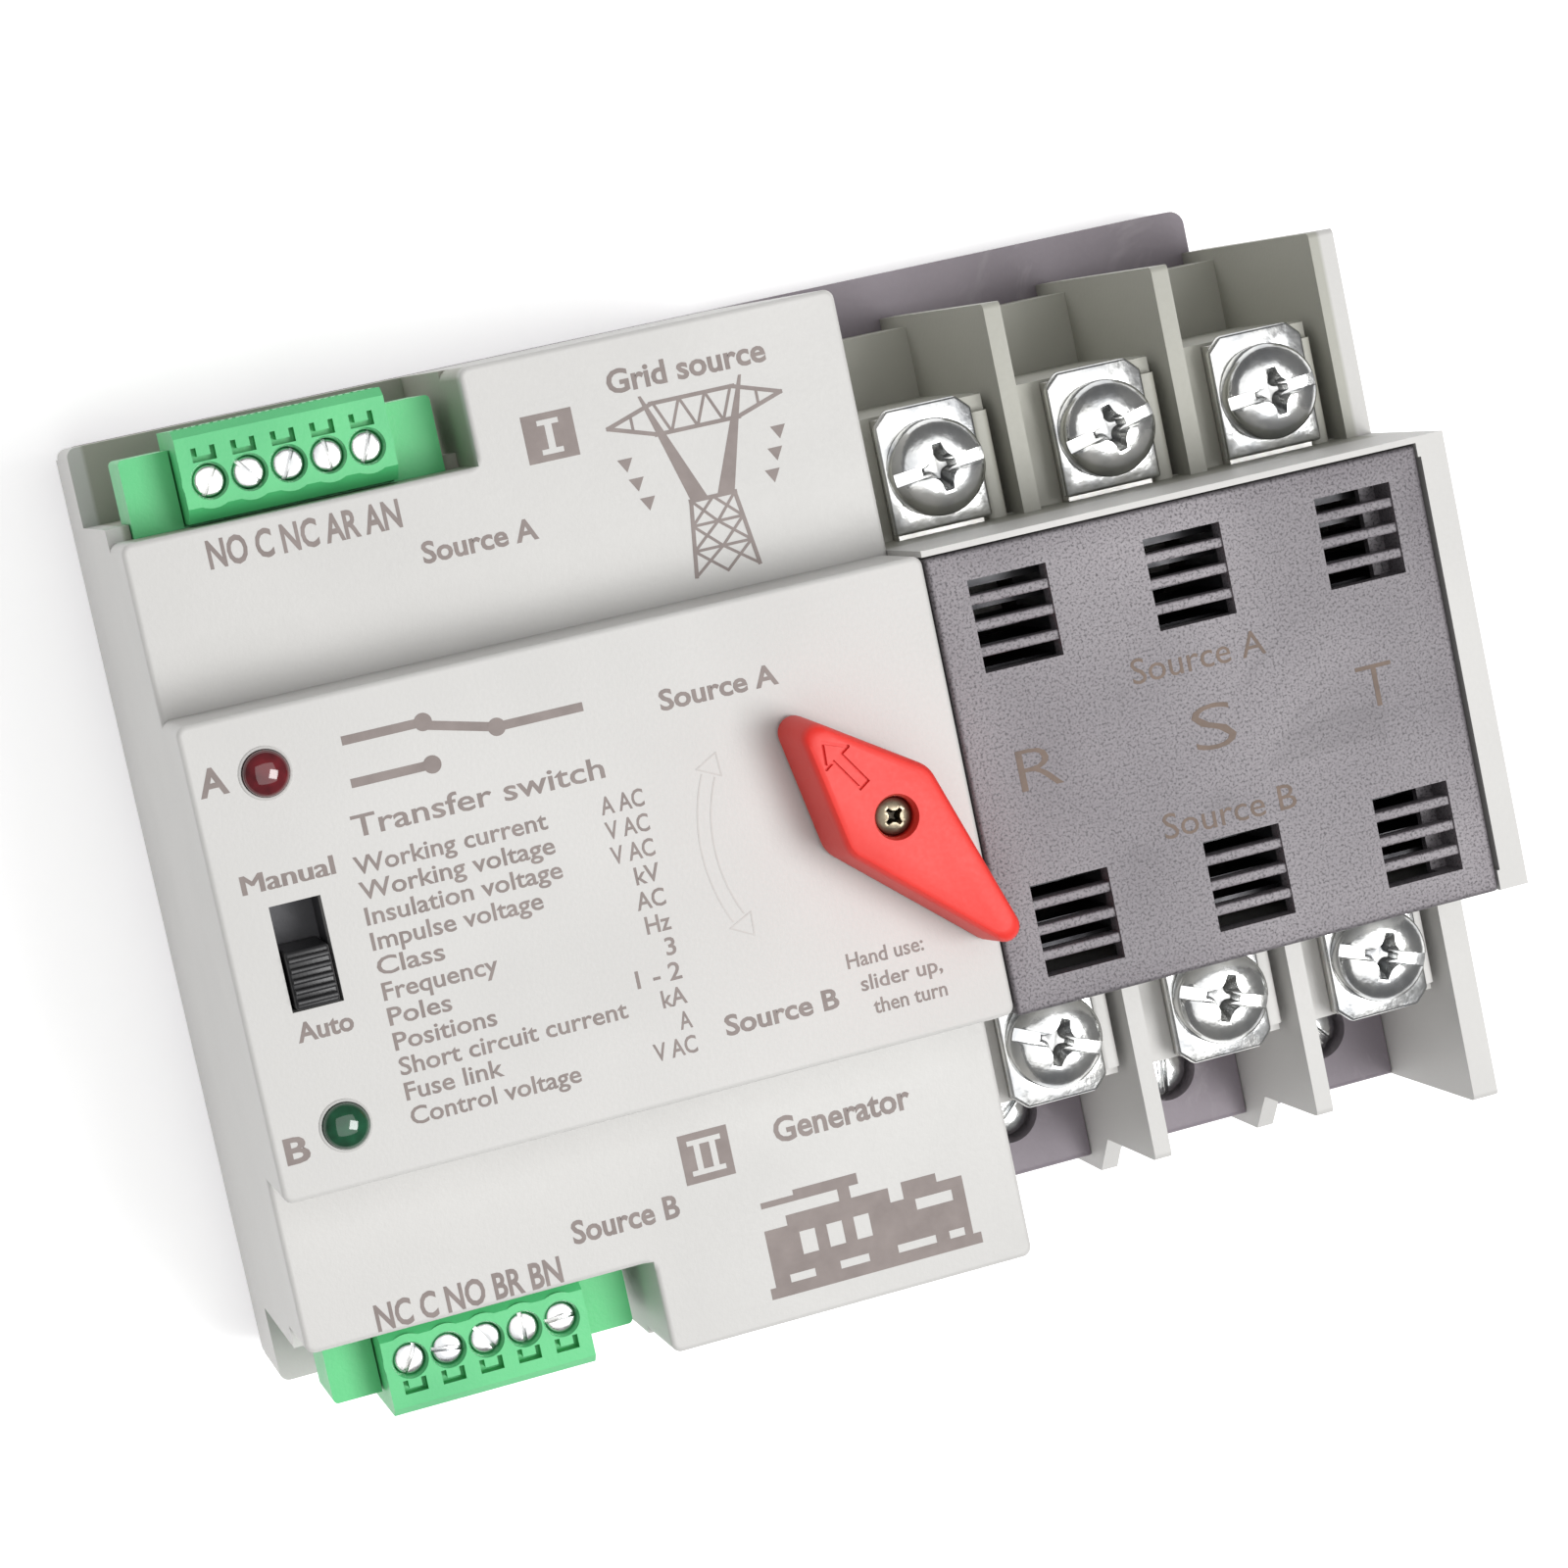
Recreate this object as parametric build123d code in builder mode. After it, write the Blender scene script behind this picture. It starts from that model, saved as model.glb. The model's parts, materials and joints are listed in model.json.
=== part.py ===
from build123d import *
from math import cos, radians, sin
import os

# A three-pole changeover switch for a 35 mm rail, in millimetres.
# X runs along the rail, +Y is the source A side, +Z points out of the panel.
# The origin is at the middle of the back.

# overall
width = 126.4          # seven 18 mm modules and a little
height = 97.2
left = -width / 2
right = width / 2
half_h = height / 2
base_top = 6.7         # front of the base plate
seam_z = 38.5          # joint between the control housing and its cover
shoulder_z = 49.0
front_z = 60.0
raised_h = 22.5        # half of the 45 mm front window
wall = 2.0

# the joint between the control side and the pole side
split_x = left + 72.0

# poles
divider = 1.8
divider_x = [split_x + 17.4, split_x + 35.4]
right_wall = 2.7
pole_x = [split_x + 8.25, split_x + 26.4, split_x + 44.0]
pole_tags = ["r", "s", "t"]
well_z = 42.6          # front edge of the dividers
chamber_h = 22.8       # outer half height of the contact chamber
chamber_in = 20.8
terminal_y = 29.3
load_y = 40.2
load_top = 21.5
bar_z = (14.2, 15.8)    # the flat load bar
clamp_z = (8.2, 17.9)

# changeover mechanism
pivot_x = left + 62.1
half_sweep = 56.5      # the handle's turn each side of its middle, degrees
crank_r = 6.0
slide_travel = 2 * crank_r * sin(radians(half_sweep))
rotor_z = 24.0
rotor_half = 28.0      # the rotor's turn each side of upright, degrees
lever_r = slide_travel / 2 / sin(radians(rotor_half))
slide_y = slide_travel / 2
contact_s = 15.0       # distance of a contact tip from the rotor axis

os.makedirs("parts", exist_ok=True)

sides = ((1, "a"), (-1, "b"))


def span(x0, x1, y0, y1, z0, z1, mode=Mode.ADD):
    """A block between two corners, added to or cut from the part being built."""
    with Locations(((x0 + x1) / 2, (y0 + y1) / 2, (z0 + z1) / 2)):
        Box(abs(x1 - x0), abs(y1 - y0), abs(z1 - z0), mode=mode)


def hole_z(x, y, r, z0, z1):
    """A round hole along Z between two levels."""
    with Locations((x, y, (z0 + z1) / 2)):
        Cylinder(r, z1 - z0, mode=Mode.SUBTRACT)


# ---------------------------------------------------------------- base plate
rail_half = 17.7       # half of the channel that takes a 35 mm rail
rail_depth = 4.6       # level of the rail's front face
lip = 1.4
screw_spots = [(left + 5.5, 33.0), (left + 5.5, -33.0), (left + 41.5, 43.0), (left + 41.5, -43.0),
               (right - 5.2, 22.4), (right - 5.2, -22.4)]
boss_top = 12.4
latch_half = 9.0

plate_x = (left + 1.0, right - 1.8)
skirt_z = 4.9          # the control housing laps over the plate's left edge down to here
corner_r = 1.6
counterbore_r, counterbore, clearance_r = 3.1, 2.5, 1.65

with BuildPart() as base_plate:
    with BuildSketch():
        with Locations(((plate_x[0] + plate_x[1]) / 2, 0)):
            Rectangle(plate_x[1] - plate_x[0], height)
        fillet(vertices(), corner_r)
    extrude(amount=base_top)
    span(left - 1, right + 1, -rail_half, rail_half, 3.3, rail_depth, Mode.SUBTRACT)
    span(left - 1, right + 1, -rail_half - 1.2, rail_half - lip, -1, 3.3, Mode.SUBTRACT)
    span(-latch_half - 0.3, latch_half + 0.3, -half_h - 1, -rail_half, -1, 3.5, Mode.SUBTRACT)
    span(-latch_half - 1.8, latch_half + 1.8, -half_h - 1, -rail_half, 1.3, 3.5, Mode.SUBTRACT)
    for x, y in screw_spots:
        hole_z(x, y, counterbore_r, -1, counterbore)
        hole_z(x, y, clearance_r, 0, base_top + 1)
    # the post that the latch spring pushes against
    span(-1.4, 1.4, -35.4, -34.0, 0.6, 4.0)
base_plate.part.label = "base_plate"
export_step(base_plate.part, "parts/base_plate.step")


# ---------------------------------------------------------------- rail latch and its spring
latch_in = 16.3        # how far the nose reaches under the rail's lower edge
spring_r = 1.2
with BuildPart() as din_latch:
    span(-latch_half, latch_half, -47.6, -latch_in, 0.4, 3.1)
    span(-latch_half - 1.5, latch_half + 1.5, -44.0, -24.0, 1.6, 3.1)
    span(-2.0, 2.0, -38.4, -22.0, 0, 4, Mode.SUBTRACT)
    span(-4.0, 4.0, -46.0, -42.5, 0, 4, Mode.SUBTRACT)
    nose = din_latch.edges().filter_by(Axis.X).sort_by(Axis.Y)[-2:].sort_by(Axis.Z)[0]
    chamfer(nose, 1.2)
din_latch.part.label = "din_latch"
export_step(din_latch.part, "parts/din_latch.step")

with BuildPart() as latch_spring:
    with BuildLine() as coil_line:
        Helix(pitch=1.25, height=11.2, radius=spring_r, center=(0, -33.7, 1.8), direction=(0, 1, 0))
    with BuildSketch(Plane(origin=coil_line.line @ 0, z_dir=coil_line.line % 0)):
        Circle(0.2)
    sweep(is_frenet=True)
latch_spring.part.label = "latch_spring"
export_step(latch_spring.part, "parts/latch_spring.step")

# ---------------------------------------------------------------- control housing
recess_x = left + 34.5     # the connector recesses run from the left side to here
recess_y = 40.6            # and from here outwards in the housing
recess_cover_y = 39.2      # and from here in the cover
recess_floor = 17.6
header_x = (left + 2.4, left + 32.9)
header_y = 46.7
header_z = (31.2, 40.0)
bearing_r = 4.5            # journal radius of the contact rotor
fit = 0.05

with BuildPart() as control_housing:
    span(left, split_x, -half_h, half_h, base_top, seam_z)
    fillet(control_housing.edges().filter_by(Axis.Z), 1.0)
    for side in (1, -1):
        span(left - 1, recess_x, side * recess_y, side * (half_h + 1), recess_floor, seam_z + 1,
             Mode.SUBTRACT)
    span(left + wall, split_x - wall, -recess_y + wall, recess_y - wall, base_top + wall, seam_z + 1,
         Mode.SUBTRACT)
    span(recess_x + wall, split_x - wall, -half_h + wall, half_h - wall, base_top + wall, seam_z + 1,
         Mode.SUBTRACT)
    for side in (1, -1):
        span(left + wall, recess_x + wall, side * 30, side * (half_h - wall), base_top + wall,
             recess_floor - wall, Mode.SUBTRACT)
        span(header_x[0] - 0.1, header_x[1] + 0.1, side * 37, side * (recess_y + 1), header_z[0] - 0.1,
             seam_z + 1, Mode.SUBTRACT)
    span(left, plate_x[0] - 0.1, -half_h + 1.0, half_h - 1.0, skirt_z, base_top)
    for x, y in screw_spots[:4]:
        with Locations((x, y, (base_top + boss_top) / 2)):
            Cylinder(3.2, boss_top - base_top)
        hole_z(x, y, 1.55, base_top - 1, boss_top - 0.3)
    with Locations(Location((split_x - 1, 0, rotor_z), (0, 90, 0))):
        Cylinder(bearing_r + fit, 3, mode=Mode.SUBTRACT)
control_housing.part.label = "control_housing"
export_step(control_housing.part, "parts/control_housing.step")

# ---------------------------------------------------------------- control cover
lamp_x = left + 7.1
lamp_y = 16.65
lamp_r = 2.15
switch_x = (left + 4.65, left + 9.5)
switch_y = (-5.35, 4.65)
spindle_r = 3.5


def stepped_outline(inset, bottom):
    """Corners of the cover's stepped section in the YZ plane, drawn in by a wall or not at all."""
    outer = half_h - inset
    inner = raised_h - inset
    step = shoulder_z - inset
    half = [(inner, front_z - inset), (inner, step), (outer, step), (outer, bottom)]
    return half + [(-y, z) for y, z in reversed(half)]


with BuildPart() as control_cover:
    with BuildSketch(Plane.YZ.offset(left)) as cover_face:
        with BuildLine():
            Polyline(*stepped_outline(0, seam_z), close=True)
        make_face()
        steps = cover_face.vertices().filter_by(lambda v: abs(v.Z - shoulder_z) < 0.1)
        fillet(steps.filter_by(lambda v: abs(v.Y) < raised_h + 1), 3.0)
        fillet(cover_face.vertices().filter_by(lambda v: v.Z > seam_z + 1 and abs(v.Y) > half_h - 1), 1.0)
        fillet(cover_face.vertices().filter_by(lambda v: v.Z > front_z - 1), 0.7)
    extrude(amount=split_x - left)
    for side in (1, -1):
        span(left - 1, recess_x, side * recess_cover_y, side * (half_h + 1), seam_z - 1, front_z,
             Mode.SUBTRACT)
    fillet(control_cover.edges().filter_by(Axis.Z).filter_by(lambda e: e.length > 5), 1.0)
    left_face = control_cover.faces().sort_by(Axis.X)[0]
    fillet(left_face.edges().filter_by(lambda e: e.center().Z > seam_z + 6), 0.5)
    with BuildSketch(Plane.YZ.offset(left + wall)):
        with BuildLine():
            Polyline(*stepped_outline(wall, seam_z - 1), close=True)
        make_face()
    extrude(amount=split_x - left - 2 * wall, mode=Mode.SUBTRACT)
    for side in (1, -1):
        span(left + wall, recess_x + wall, side * (recess_cover_y - wall), side * (half_h - wall), seam_z,
             shoulder_z - wall)
        span(left + wall, recess_x, side * recess_cover_y, side * half_h, seam_z, front_z, Mode.SUBTRACT)
        span(header_x[0] - 0.1, header_x[1] + 0.1, side * (recess_cover_y - wall - 1),
             side * (recess_cover_y + 1), seam_z - 1, header_z[1] + 0.3, Mode.SUBTRACT)
        hole_z(lamp_x, side * lamp_y, lamp_r + 0.05, front_z - wall - 1, front_z + 1)
    span(*switch_x, *switch_y, front_z - wall - 1, front_z + 1, Mode.SUBTRACT)
    hole_z(pivot_x, 0, spindle_r + 0.08, front_z - wall - 1, front_z + 1)
control_cover.part.label = "control_cover"
export_step(control_cover.part, "parts/control_cover.step")

# ---------------------------------------------------------------- pole housing
cover_z = 55.0         # the pole cover's underside
cover_high = 22.05     # it stops short of the chamber's upper face and is flush with the lower one
cover_low = 22.8
chambers = [(split_x + wall, divider_x[0] - divider / 2),
            (divider_x[0] + divider / 2, divider_x[1] - divider / 2),
            (divider_x[1] + divider / 2, right - right_wall)]
wells = [(split_x, chambers[0][1]), chambers[1], chambers[2]]
pedestal_y = 35.2
pedestal_z = 39.0
rib_top = 40.4
rib_deep = 4.4
well_floor = 15.6

with BuildPart() as pole_housing:
    span(split_x, right, -chamber_h, chamber_h, base_top, front_z)
    # pedestals under the terminals, and the floor of the upper wells
    span(split_x, right - 1, chamber_h - 1, pedestal_y, base_top, pedestal_z)
    span(split_x, right - 1, -pedestal_y, -chamber_h + 1, load_top + 0.1, pedestal_z)
    span(split_x, right - 1, pedestal_y - 1, 42.7, base_top, well_floor)
    # dividers and the outer wall, with the slanted feet on the load side
    for x0, x1, foot in [(x - divider / 2, x + divider / 2, True) for x in divider_x] + [
            (right - right_wall, right, False)]:
        with BuildSketch(Plane.YZ.offset(x0)):
            with BuildLine():
                if foot:
                    Polyline((43.9, base_top), (43.9, well_z), (-44.3, well_z), (-44.3, 28.0), (-48.4, 23.7),
                             (-48.1, base_top), close=True)
                else:
                    Polyline((43.9, base_top), (43.9, well_z), (-47.1, well_z), (-47.1, base_top), close=True)
            make_face()
        extrude(amount=x1 - x0)
    # a round-edged rib beside each terminal, with a groove between it and the wall
    for x0, x1 in wells:
        for side, rib_end in ((1, 33.6), (-1, 34.3)):
            rib_x = (x1 - 2.9, x1 - 0.9)
            span(rib_x[1], x1, side * (chamber_h + 0.1), side * pedestal_y, rib_top - rib_deep,
                 pedestal_z + 1, Mode.SUBTRACT)
            with BuildSketch(Plane.XZ.offset(-side * (chamber_h - 1))):
                with Locations((sum(rib_x) / 2, rib_top - rib_deep / 2)):
                    RectangleRounded(rib_x[1] - rib_x[0], rib_deep, 0.7)
            extrude(amount=-side * (rib_end - chamber_h + 1))
    # contact chambers, open to the front where the pole cover closes them
    for x0, x1 in chambers:
        span(x0, x1, -chamber_in, chamber_in, base_top + wall, front_z + 1, Mode.SUBTRACT)
    span(split_x - 1, right - 3.0, -chamber_h - 1, cover_high + 0.15, cover_z, front_z + 1, Mode.SUBTRACT)
    span(split_x + wall, right - 4.0, 24.8, 40.7, base_top - 1, well_floor - wall, Mode.SUBTRACT)
    for x0, x1 in chambers:
        span(x0, x1, 24.8, 33.2, base_top - 1, 33.0, Mode.SUBTRACT)
    for x in pole_x:
        for side in (1, -1):
            # slot for the terminal bar, hole for the screw and pocket for its nut
            span(x - 4.6, x + 4.6, side * (chamber_in - 1), side * pedestal_y, pedestal_z - 0.1,
                 pedestal_z + 2.1, Mode.SUBTRACT)
            hole_z(x, side * terminal_y, 2.8, 27, pedestal_z + 1)
            span(x - 4.1, x + 4.1, side * (terminal_y - 4.1), side * (terminal_y + 4.1), pedestal_z - 3.4,
                 pedestal_z, Mode.SUBTRACT)
        span(x - 4.7, x + 4.7, -27, -chamber_in + 1, bar_z[0] - 0.1, bar_z[1] + 0.1, Mode.SUBTRACT)
    for x, y in screw_spots[4:]:
        with Locations((x, y, (base_top + boss_top) / 2)):
            Cylinder(2.9, boss_top - base_top)
        hole_z(x, y, 1.55, base_top - 1, boss_top - 0.3)
    with Locations(Location(((split_x + right) / 2 - 2, 0, rotor_z), (0, 90, 0))):
        Cylinder(bearing_r + fit, right - split_x - 2, mode=Mode.SUBTRACT)
    corner_edges = pole_housing.edges().filter_by(Axis.X).filter_by(
        lambda e: e.center().Z > well_z - 0.1 and abs(e.center().Y) > 40)
    fillet(corner_edges, 0.6)
pole_housing.part.label = "pole_housing"
export_step(pole_housing.part, "parts/pole_housing.step")

# ---------------------------------------------------------------- pole cover
vent_x = [split_x + 3.9, split_x + 21.9, split_x + 39.9]
vent_w = 8.0
slot_h = 1.5
slot_pitch = 2.5
vent_low = (10.1, -19.8)

with BuildPart() as pole_cover:
    span(split_x + 0.15, right - 3.15, -cover_low, cover_high, cover_z, front_z)
    chamfer(pole_cover.edges().group_by(Axis.Z)[-1], 0.35)
    span(split_x + wall, right - 5.0, -20.2, 20.2, cover_z - 1, front_z - 2.2, Mode.SUBTRACT)
    for x in vent_x:
        for y in vent_low:
            for n in range(4):
                low = y + n * slot_pitch
                span(x, x + vent_w, low, low + slot_h, front_z - 4, front_z + 1, Mode.SUBTRACT)
pole_cover.part.label = "pole_cover"
export_step(pole_cover.part, "parts/pole_cover.step")

# ---------------------------------------------------------------- load terminals
for (x0, x1), x, tag in zip(wells, pole_x, pole_tags):
    with BuildPart() as load_block:
        span(x0 + 0.1, x1 - 0.1, -47.1, -25.6, base_top, load_top)
        fillet(load_block.edges().filter_by(Axis.X).filter_by(lambda e: e.center().Y < -40), 0.6)
        span(x - 5.2, x + 5.2, -45.6, -35.0, clamp_z[0] - 0.1, clamp_z[1] + 0.1, Mode.SUBTRACT)
        span(x - 4.4, x + 4.4, -48, -45, 9.0, 14.6, Mode.SUBTRACT)
        span(x - 4.6, x + 4.6, -36, -22, bar_z[0] - 0.1, bar_z[1] + 0.1, Mode.SUBTRACT)
        hole_z(x, -load_y, 3.3, 16, load_top + 1)
    load_block.part.label = f"load_block_{tag}"
    export_step(load_block.part, f"parts/load_block_{tag}.step")

with BuildPart() as load_bars:
    for x in pole_x:
        span(x - 4.4, x + 4.4, -44.5, -7.0, *bar_z)
        for side in (1, -1):
            span(x + side * 3.4, x + side * 4.4, -8.0, 4.0, bar_z[0], 18.9)
load_bars.part.label = "load_bars"
export_step(load_bars.part, "parts/load_bars.step")

with BuildPart() as load_clamps:
    for x in pole_x:
        span(x - 5.0, x + 5.0, -44.4, -36.2, *clamp_z)
        span(x - 4.45, x + 4.45, -45, -35, clamp_z[0] + 0.9, clamp_z[1] - 1.7, Mode.SUBTRACT)
        hole_z(x, -load_y, 2.02, 14, 19)
load_clamps.part.label = "load_clamps"
export_step(load_clamps.part, "parts/load_clamps.step")


def screw(x, y, head_r, head_z, top, shank_r, tip, slot, cross):
    """A screw along Z: shank, rounded head and its drive."""
    with Locations((x, y, (tip + head_z) / 2)):
        Cylinder(shank_r, head_z - tip)
    with Locations((x, y, (head_z + top) / 2)):
        Cone(head_r, head_r - 0.14 * (top - head_z), top - head_z)
    if slot:
        span(x - head_r, x + head_r, y - slot / 2, y + slot / 2, top - 1.3, top + 1, Mode.SUBTRACT)
    if cross:
        span(x - cross, x + cross, y - 0.12 * head_r, y + 0.12 * head_r, top - 1.6, top + 1, Mode.SUBTRACT)
        span(x - 0.12 * head_r, x + 0.12 * head_r, y - cross, y + cross, top - 1.6, top + 1, Mode.SUBTRACT)


with BuildPart() as load_screws:
    for x in pole_x:
        screw(x, -load_y, 2.8, 18.2, 20.6, 2.0, 15.9, 0.9, 0)
load_screws.part.label = "load_screws"
export_step(load_screws.part, "parts/load_screws.step")

# ---------------------------------------------------------------- source terminals, one set a side
lean = radians(rotor_half)


def along_arm(s, off):
    """The YZ point at distance s up the leaning arm and off to its outer side."""
    return (s * sin(lean) + off * cos(lean), rotor_z + s * cos(lean) - off * sin(lean))


tip_face = 2.5         # the arm's centre line to the face of the fixed tip
terminal_head_r, terminal_head_top = 4.85, 46.0
terminal_thread_r, terminal_end = 2.5, 30.5
arc_start, arc_pitch, arc_count, arc_thick = 9.0, 2.2, 5, 0.9
tip_thick = 1.2
tab_off = tip_face + tip_thick
tab_thick = 1.5
bar_top = pedestal_z + 2.0
inner_s = (bar_top - rotor_z + tab_off * sin(lean)) / cos(lean)
outer_s = (pedestal_z - rotor_z + (tab_off + tab_thick) * sin(lean)) / cos(lean)

for side, tag in sides:
    with BuildPart() as terminal_bars:
        for x in pole_x:
            with BuildSketch(Plane.YZ.offset(x - 4.5)):
                outline = [(34.9, bar_top), along_arm(inner_s, tab_off), along_arm(11.5, tab_off),
                           along_arm(11.5, tab_off + tab_thick), along_arm(outer_s, tab_off + tab_thick),
                           (34.9, pedestal_z)]
                with BuildLine():
                    Polyline(*[(side * y, z) for y, z in outline], close=True)
                make_face()
            extrude(amount=9.0)
            hole_z(x, side * terminal_y, 2.7, 30, 50)
    terminal_bars.part.label = f"terminal_bars_{tag}"
    export_step(terminal_bars.part, f"parts/terminal_bars_{tag}.step")

    with BuildPart() as fixed_contacts:
        for x in pole_x:
            y, z = along_arm(contact_s, tip_face)
            out = (0, side * cos(lean), -sin(lean))
            with BuildSketch(Plane(origin=(x, side * y, z), z_dir=out)):
                Circle(2.4)
            extrude(amount=tip_thick)
    fixed_contacts.part.label = f"fixed_contacts_{tag}"
    export_step(fixed_contacts.part, f"parts/fixed_contacts_{tag}.step")

    with BuildPart() as clamp_plates:
        for x in pole_x:
            with BuildSketch(Plane.XY.offset(bar_top + 0.2)) as plate:
                with Locations((x, side * 29.5)):
                    Rectangle(10.2, 12.4)
                chamfer(plate.vertices().filter_by(
                    lambda v: abs(v.X - x) < 6 and side * v.Y > 30 and abs(v.Z) < 99), 1.4)
            extrude(amount=1.2)
            hole_z(x, side * terminal_y, 2.7, 40, 44)
    clamp_plates.part.label = f"clamp_plates_{tag}"
    export_step(clamp_plates.part, f"parts/clamp_plates_{tag}.step")

    with BuildPart() as terminal_screws:
        for x in pole_x:
            screw(x, side * terminal_y, terminal_head_r, bar_top + 1.4, terminal_head_top, terminal_thread_r,
                  terminal_end, 1.3, 2.7)
    terminal_screws.part.label = f"terminal_screws_{tag}"
    export_step(terminal_screws.part, f"parts/terminal_screws_{tag}.step")

    with BuildPart() as arc_plates:
        for x in pole_x:
            for n in range(arc_count):
                y = side * (arc_start + arc_pitch * n)
                span(x - 5.0, x + 5.0, y, y + side * arc_thick, 45.0, 53.0)
    arc_plates.part.label = f"arc_plates_{tag}"
    export_step(arc_plates.part, f"parts/arc_plates_{tag}.step")

with BuildPart() as terminal_nuts:
    for x in pole_x:
        for side in (1, -1):
            span(x - 4.0, x + 4.0, side * (terminal_y - 4), side * (terminal_y + 4), pedestal_z - 3.3,
                 pedestal_z - 0.1)
            hole_z(x, side * terminal_y, 2.52, 30, 42)
terminal_nuts.part.label = "terminal_nuts"
export_step(terminal_nuts.part, "parts/terminal_nuts.step")

with BuildPart() as arc_frames:
    for x in pole_x:
        for side in (1, -1):
            for cheek in (1, -1):
                span(x + cheek * 5.1, x + cheek * 6.1, side * 8.0, side * 19.8, 44.0, 54.2)
arc_frames.part.label = "arc_frames"
export_step(arc_frames.part, "parts/arc_frames.step")

# ---------------------------------------------------------------- contact rotor
lever_x = (pivot_x + 0.3, pivot_x + 4.3)
pin_r = 1.5
with BuildPart() as contact_rotor:
    with Locations(Location((lever_x[0] - 1, 0, rotor_z), (0, 90, 0))):
        Cylinder(bearing_r, right - 4.5 - lever_x[0] + 1, align=(Align.CENTER, Align.CENTER, Align.MIN))
    # the lever ends in a round pin that the transfer slide holds
    with BuildSketch(Plane.YZ.offset(lever_x[0])):
        with Locations(along_arm(lever_r, 0)):
            Circle(pin_r)
        with Locations(Location((0, rotor_z), -rotor_half)):
            with Locations((0, lever_r / 2)):
                Rectangle(1.8, lever_r)
    extrude(amount=lever_x[1] - lever_x[0])
contact_rotor.part.label = "contact_rotor"
export_step(contact_rotor.part, "parts/contact_rotor.step")

hub_r = 7.0
arm_s = 19.4
with BuildPart() as moving_contacts:
    for x in pole_x:
        with BuildSketch(Plane.YZ.offset(x - 3)):
            with Locations((0, rotor_z)):
                Circle(hub_r)
            with Locations(Location((0, rotor_z), -rotor_half)):
                with Locations((0, arm_s / 2)):
                    Rectangle(2.0, arm_s)
            with Locations((0, rotor_z)):
                Circle(bearing_r + 0.02, mode=Mode.SUBTRACT)
        extrude(amount=6)
moving_contacts.part.label = "moving_contacts"
export_step(moving_contacts.part, "parts/moving_contacts.step")

with BuildPart() as moving_tips:
    for x in pole_x:
        for side in (1, -1):
            y, z = along_arm(contact_s, side * 1.0)
            out = (0, side * cos(lean), -side * sin(lean))
            with BuildSketch(Plane(origin=(x, y, z), z_dir=out)):
                Circle(2.4)
            extrude(amount=1.2)
moving_tips.part.label = "moving_tips"
export_step(moving_tips.part, "parts/moving_tips.step")

# ---------------------------------------------------------------- transfer slide and its drive
slide_z = (30.6, 36.4)
slot_gap = 0.45        # the crank pin's play, which lets its circle drive a straight slide
fork_gap = 0.25
plunger_x = left + 43.2
plunger_r = 3.5
plunger_z = 33.0

fork_z = 32.6
with BuildPart() as transfer_slide:
    span(pivot_x - 9.5, lever_x[1] + 0.7, slide_y - 7, slide_y + 7, *slide_z)
    span(plunger_x - 3, pivot_x - 9, slide_y - 3, slide_y + 3, *slide_z)
    fillet(transfer_slide.edges().filter_by(Axis.Z), 0.8)
    span(pivot_x - 7.9, pivot_x - 1.4, slide_y - pin_r - slot_gap, slide_y + pin_r + slot_gap,
         slide_z[0] - 1, slide_z[1] + 1, Mode.SUBTRACT)
    span(pivot_x - 0.1, pivot_x + 6, slide_y - pin_r - fork_gap, slide_y + pin_r + fork_gap, slide_z[0] - 1,
         slide_z[1] + 1, Mode.SUBTRACT)
    span(pivot_x - 0.1, pivot_x + 6, slide_y - 8, slide_y + 8, slide_z[0] - 1, fork_z, Mode.SUBTRACT)
transfer_slide.part.label = "transfer_slide"
export_step(transfer_slide.part, "parts/transfer_slide.step")

with BuildPart() as plunger:
    with Locations(Location((plunger_x, slide_y - 3.1, plunger_z), (90, 0, 0))):
        Cylinder(plunger_r, 28.0, align=(Align.CENTER, Align.CENTER, Align.MIN))
    chamfer(plunger.edges().filter_by(GeomType.CIRCLE).sort_by(Axis.Y)[0], 0.8)
plunger.part.label = "plunger"
export_step(plunger.part, "parts/plunger.step")

coil_y = (-34.9, -14.0)
bore_r = plunger_r + 0.3
with BuildPart() as solenoid_bobbin:
    with Locations(Location((plunger_x, coil_y[0], plunger_z), (-90, 0, 0))):
        Cylinder(bore_r + 1.0, coil_y[1] - coil_y[0], align=(Align.CENTER, Align.CENTER, Align.MIN))
        Cylinder(8.2, 1.2, align=(Align.CENTER, Align.CENTER, Align.MIN))
        with Locations((0, 0, coil_y[1] - coil_y[0] - 1.2)):
            Cylinder(8.2, 1.2, align=(Align.CENTER, Align.CENTER, Align.MIN))
        Cylinder(bore_r, 60, mode=Mode.SUBTRACT)
solenoid_bobbin.part.label = "solenoid_bobbin"
export_step(solenoid_bobbin.part, "parts/solenoid_bobbin.step")

with BuildPart() as solenoid_coil:
    with Locations(Location((plunger_x, coil_y[0] + 1.3, plunger_z), (-90, 0, 0))):
        Cylinder(7.6, coil_y[1] - coil_y[0] - 2.6, align=(Align.CENTER, Align.CENTER, Align.MIN))
        Cylinder(bore_r + 1.1, 60, mode=Mode.SUBTRACT)
solenoid_coil.part.label = "solenoid_coil"
export_step(solenoid_coil.part, "parts/solenoid_coil.step")

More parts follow.
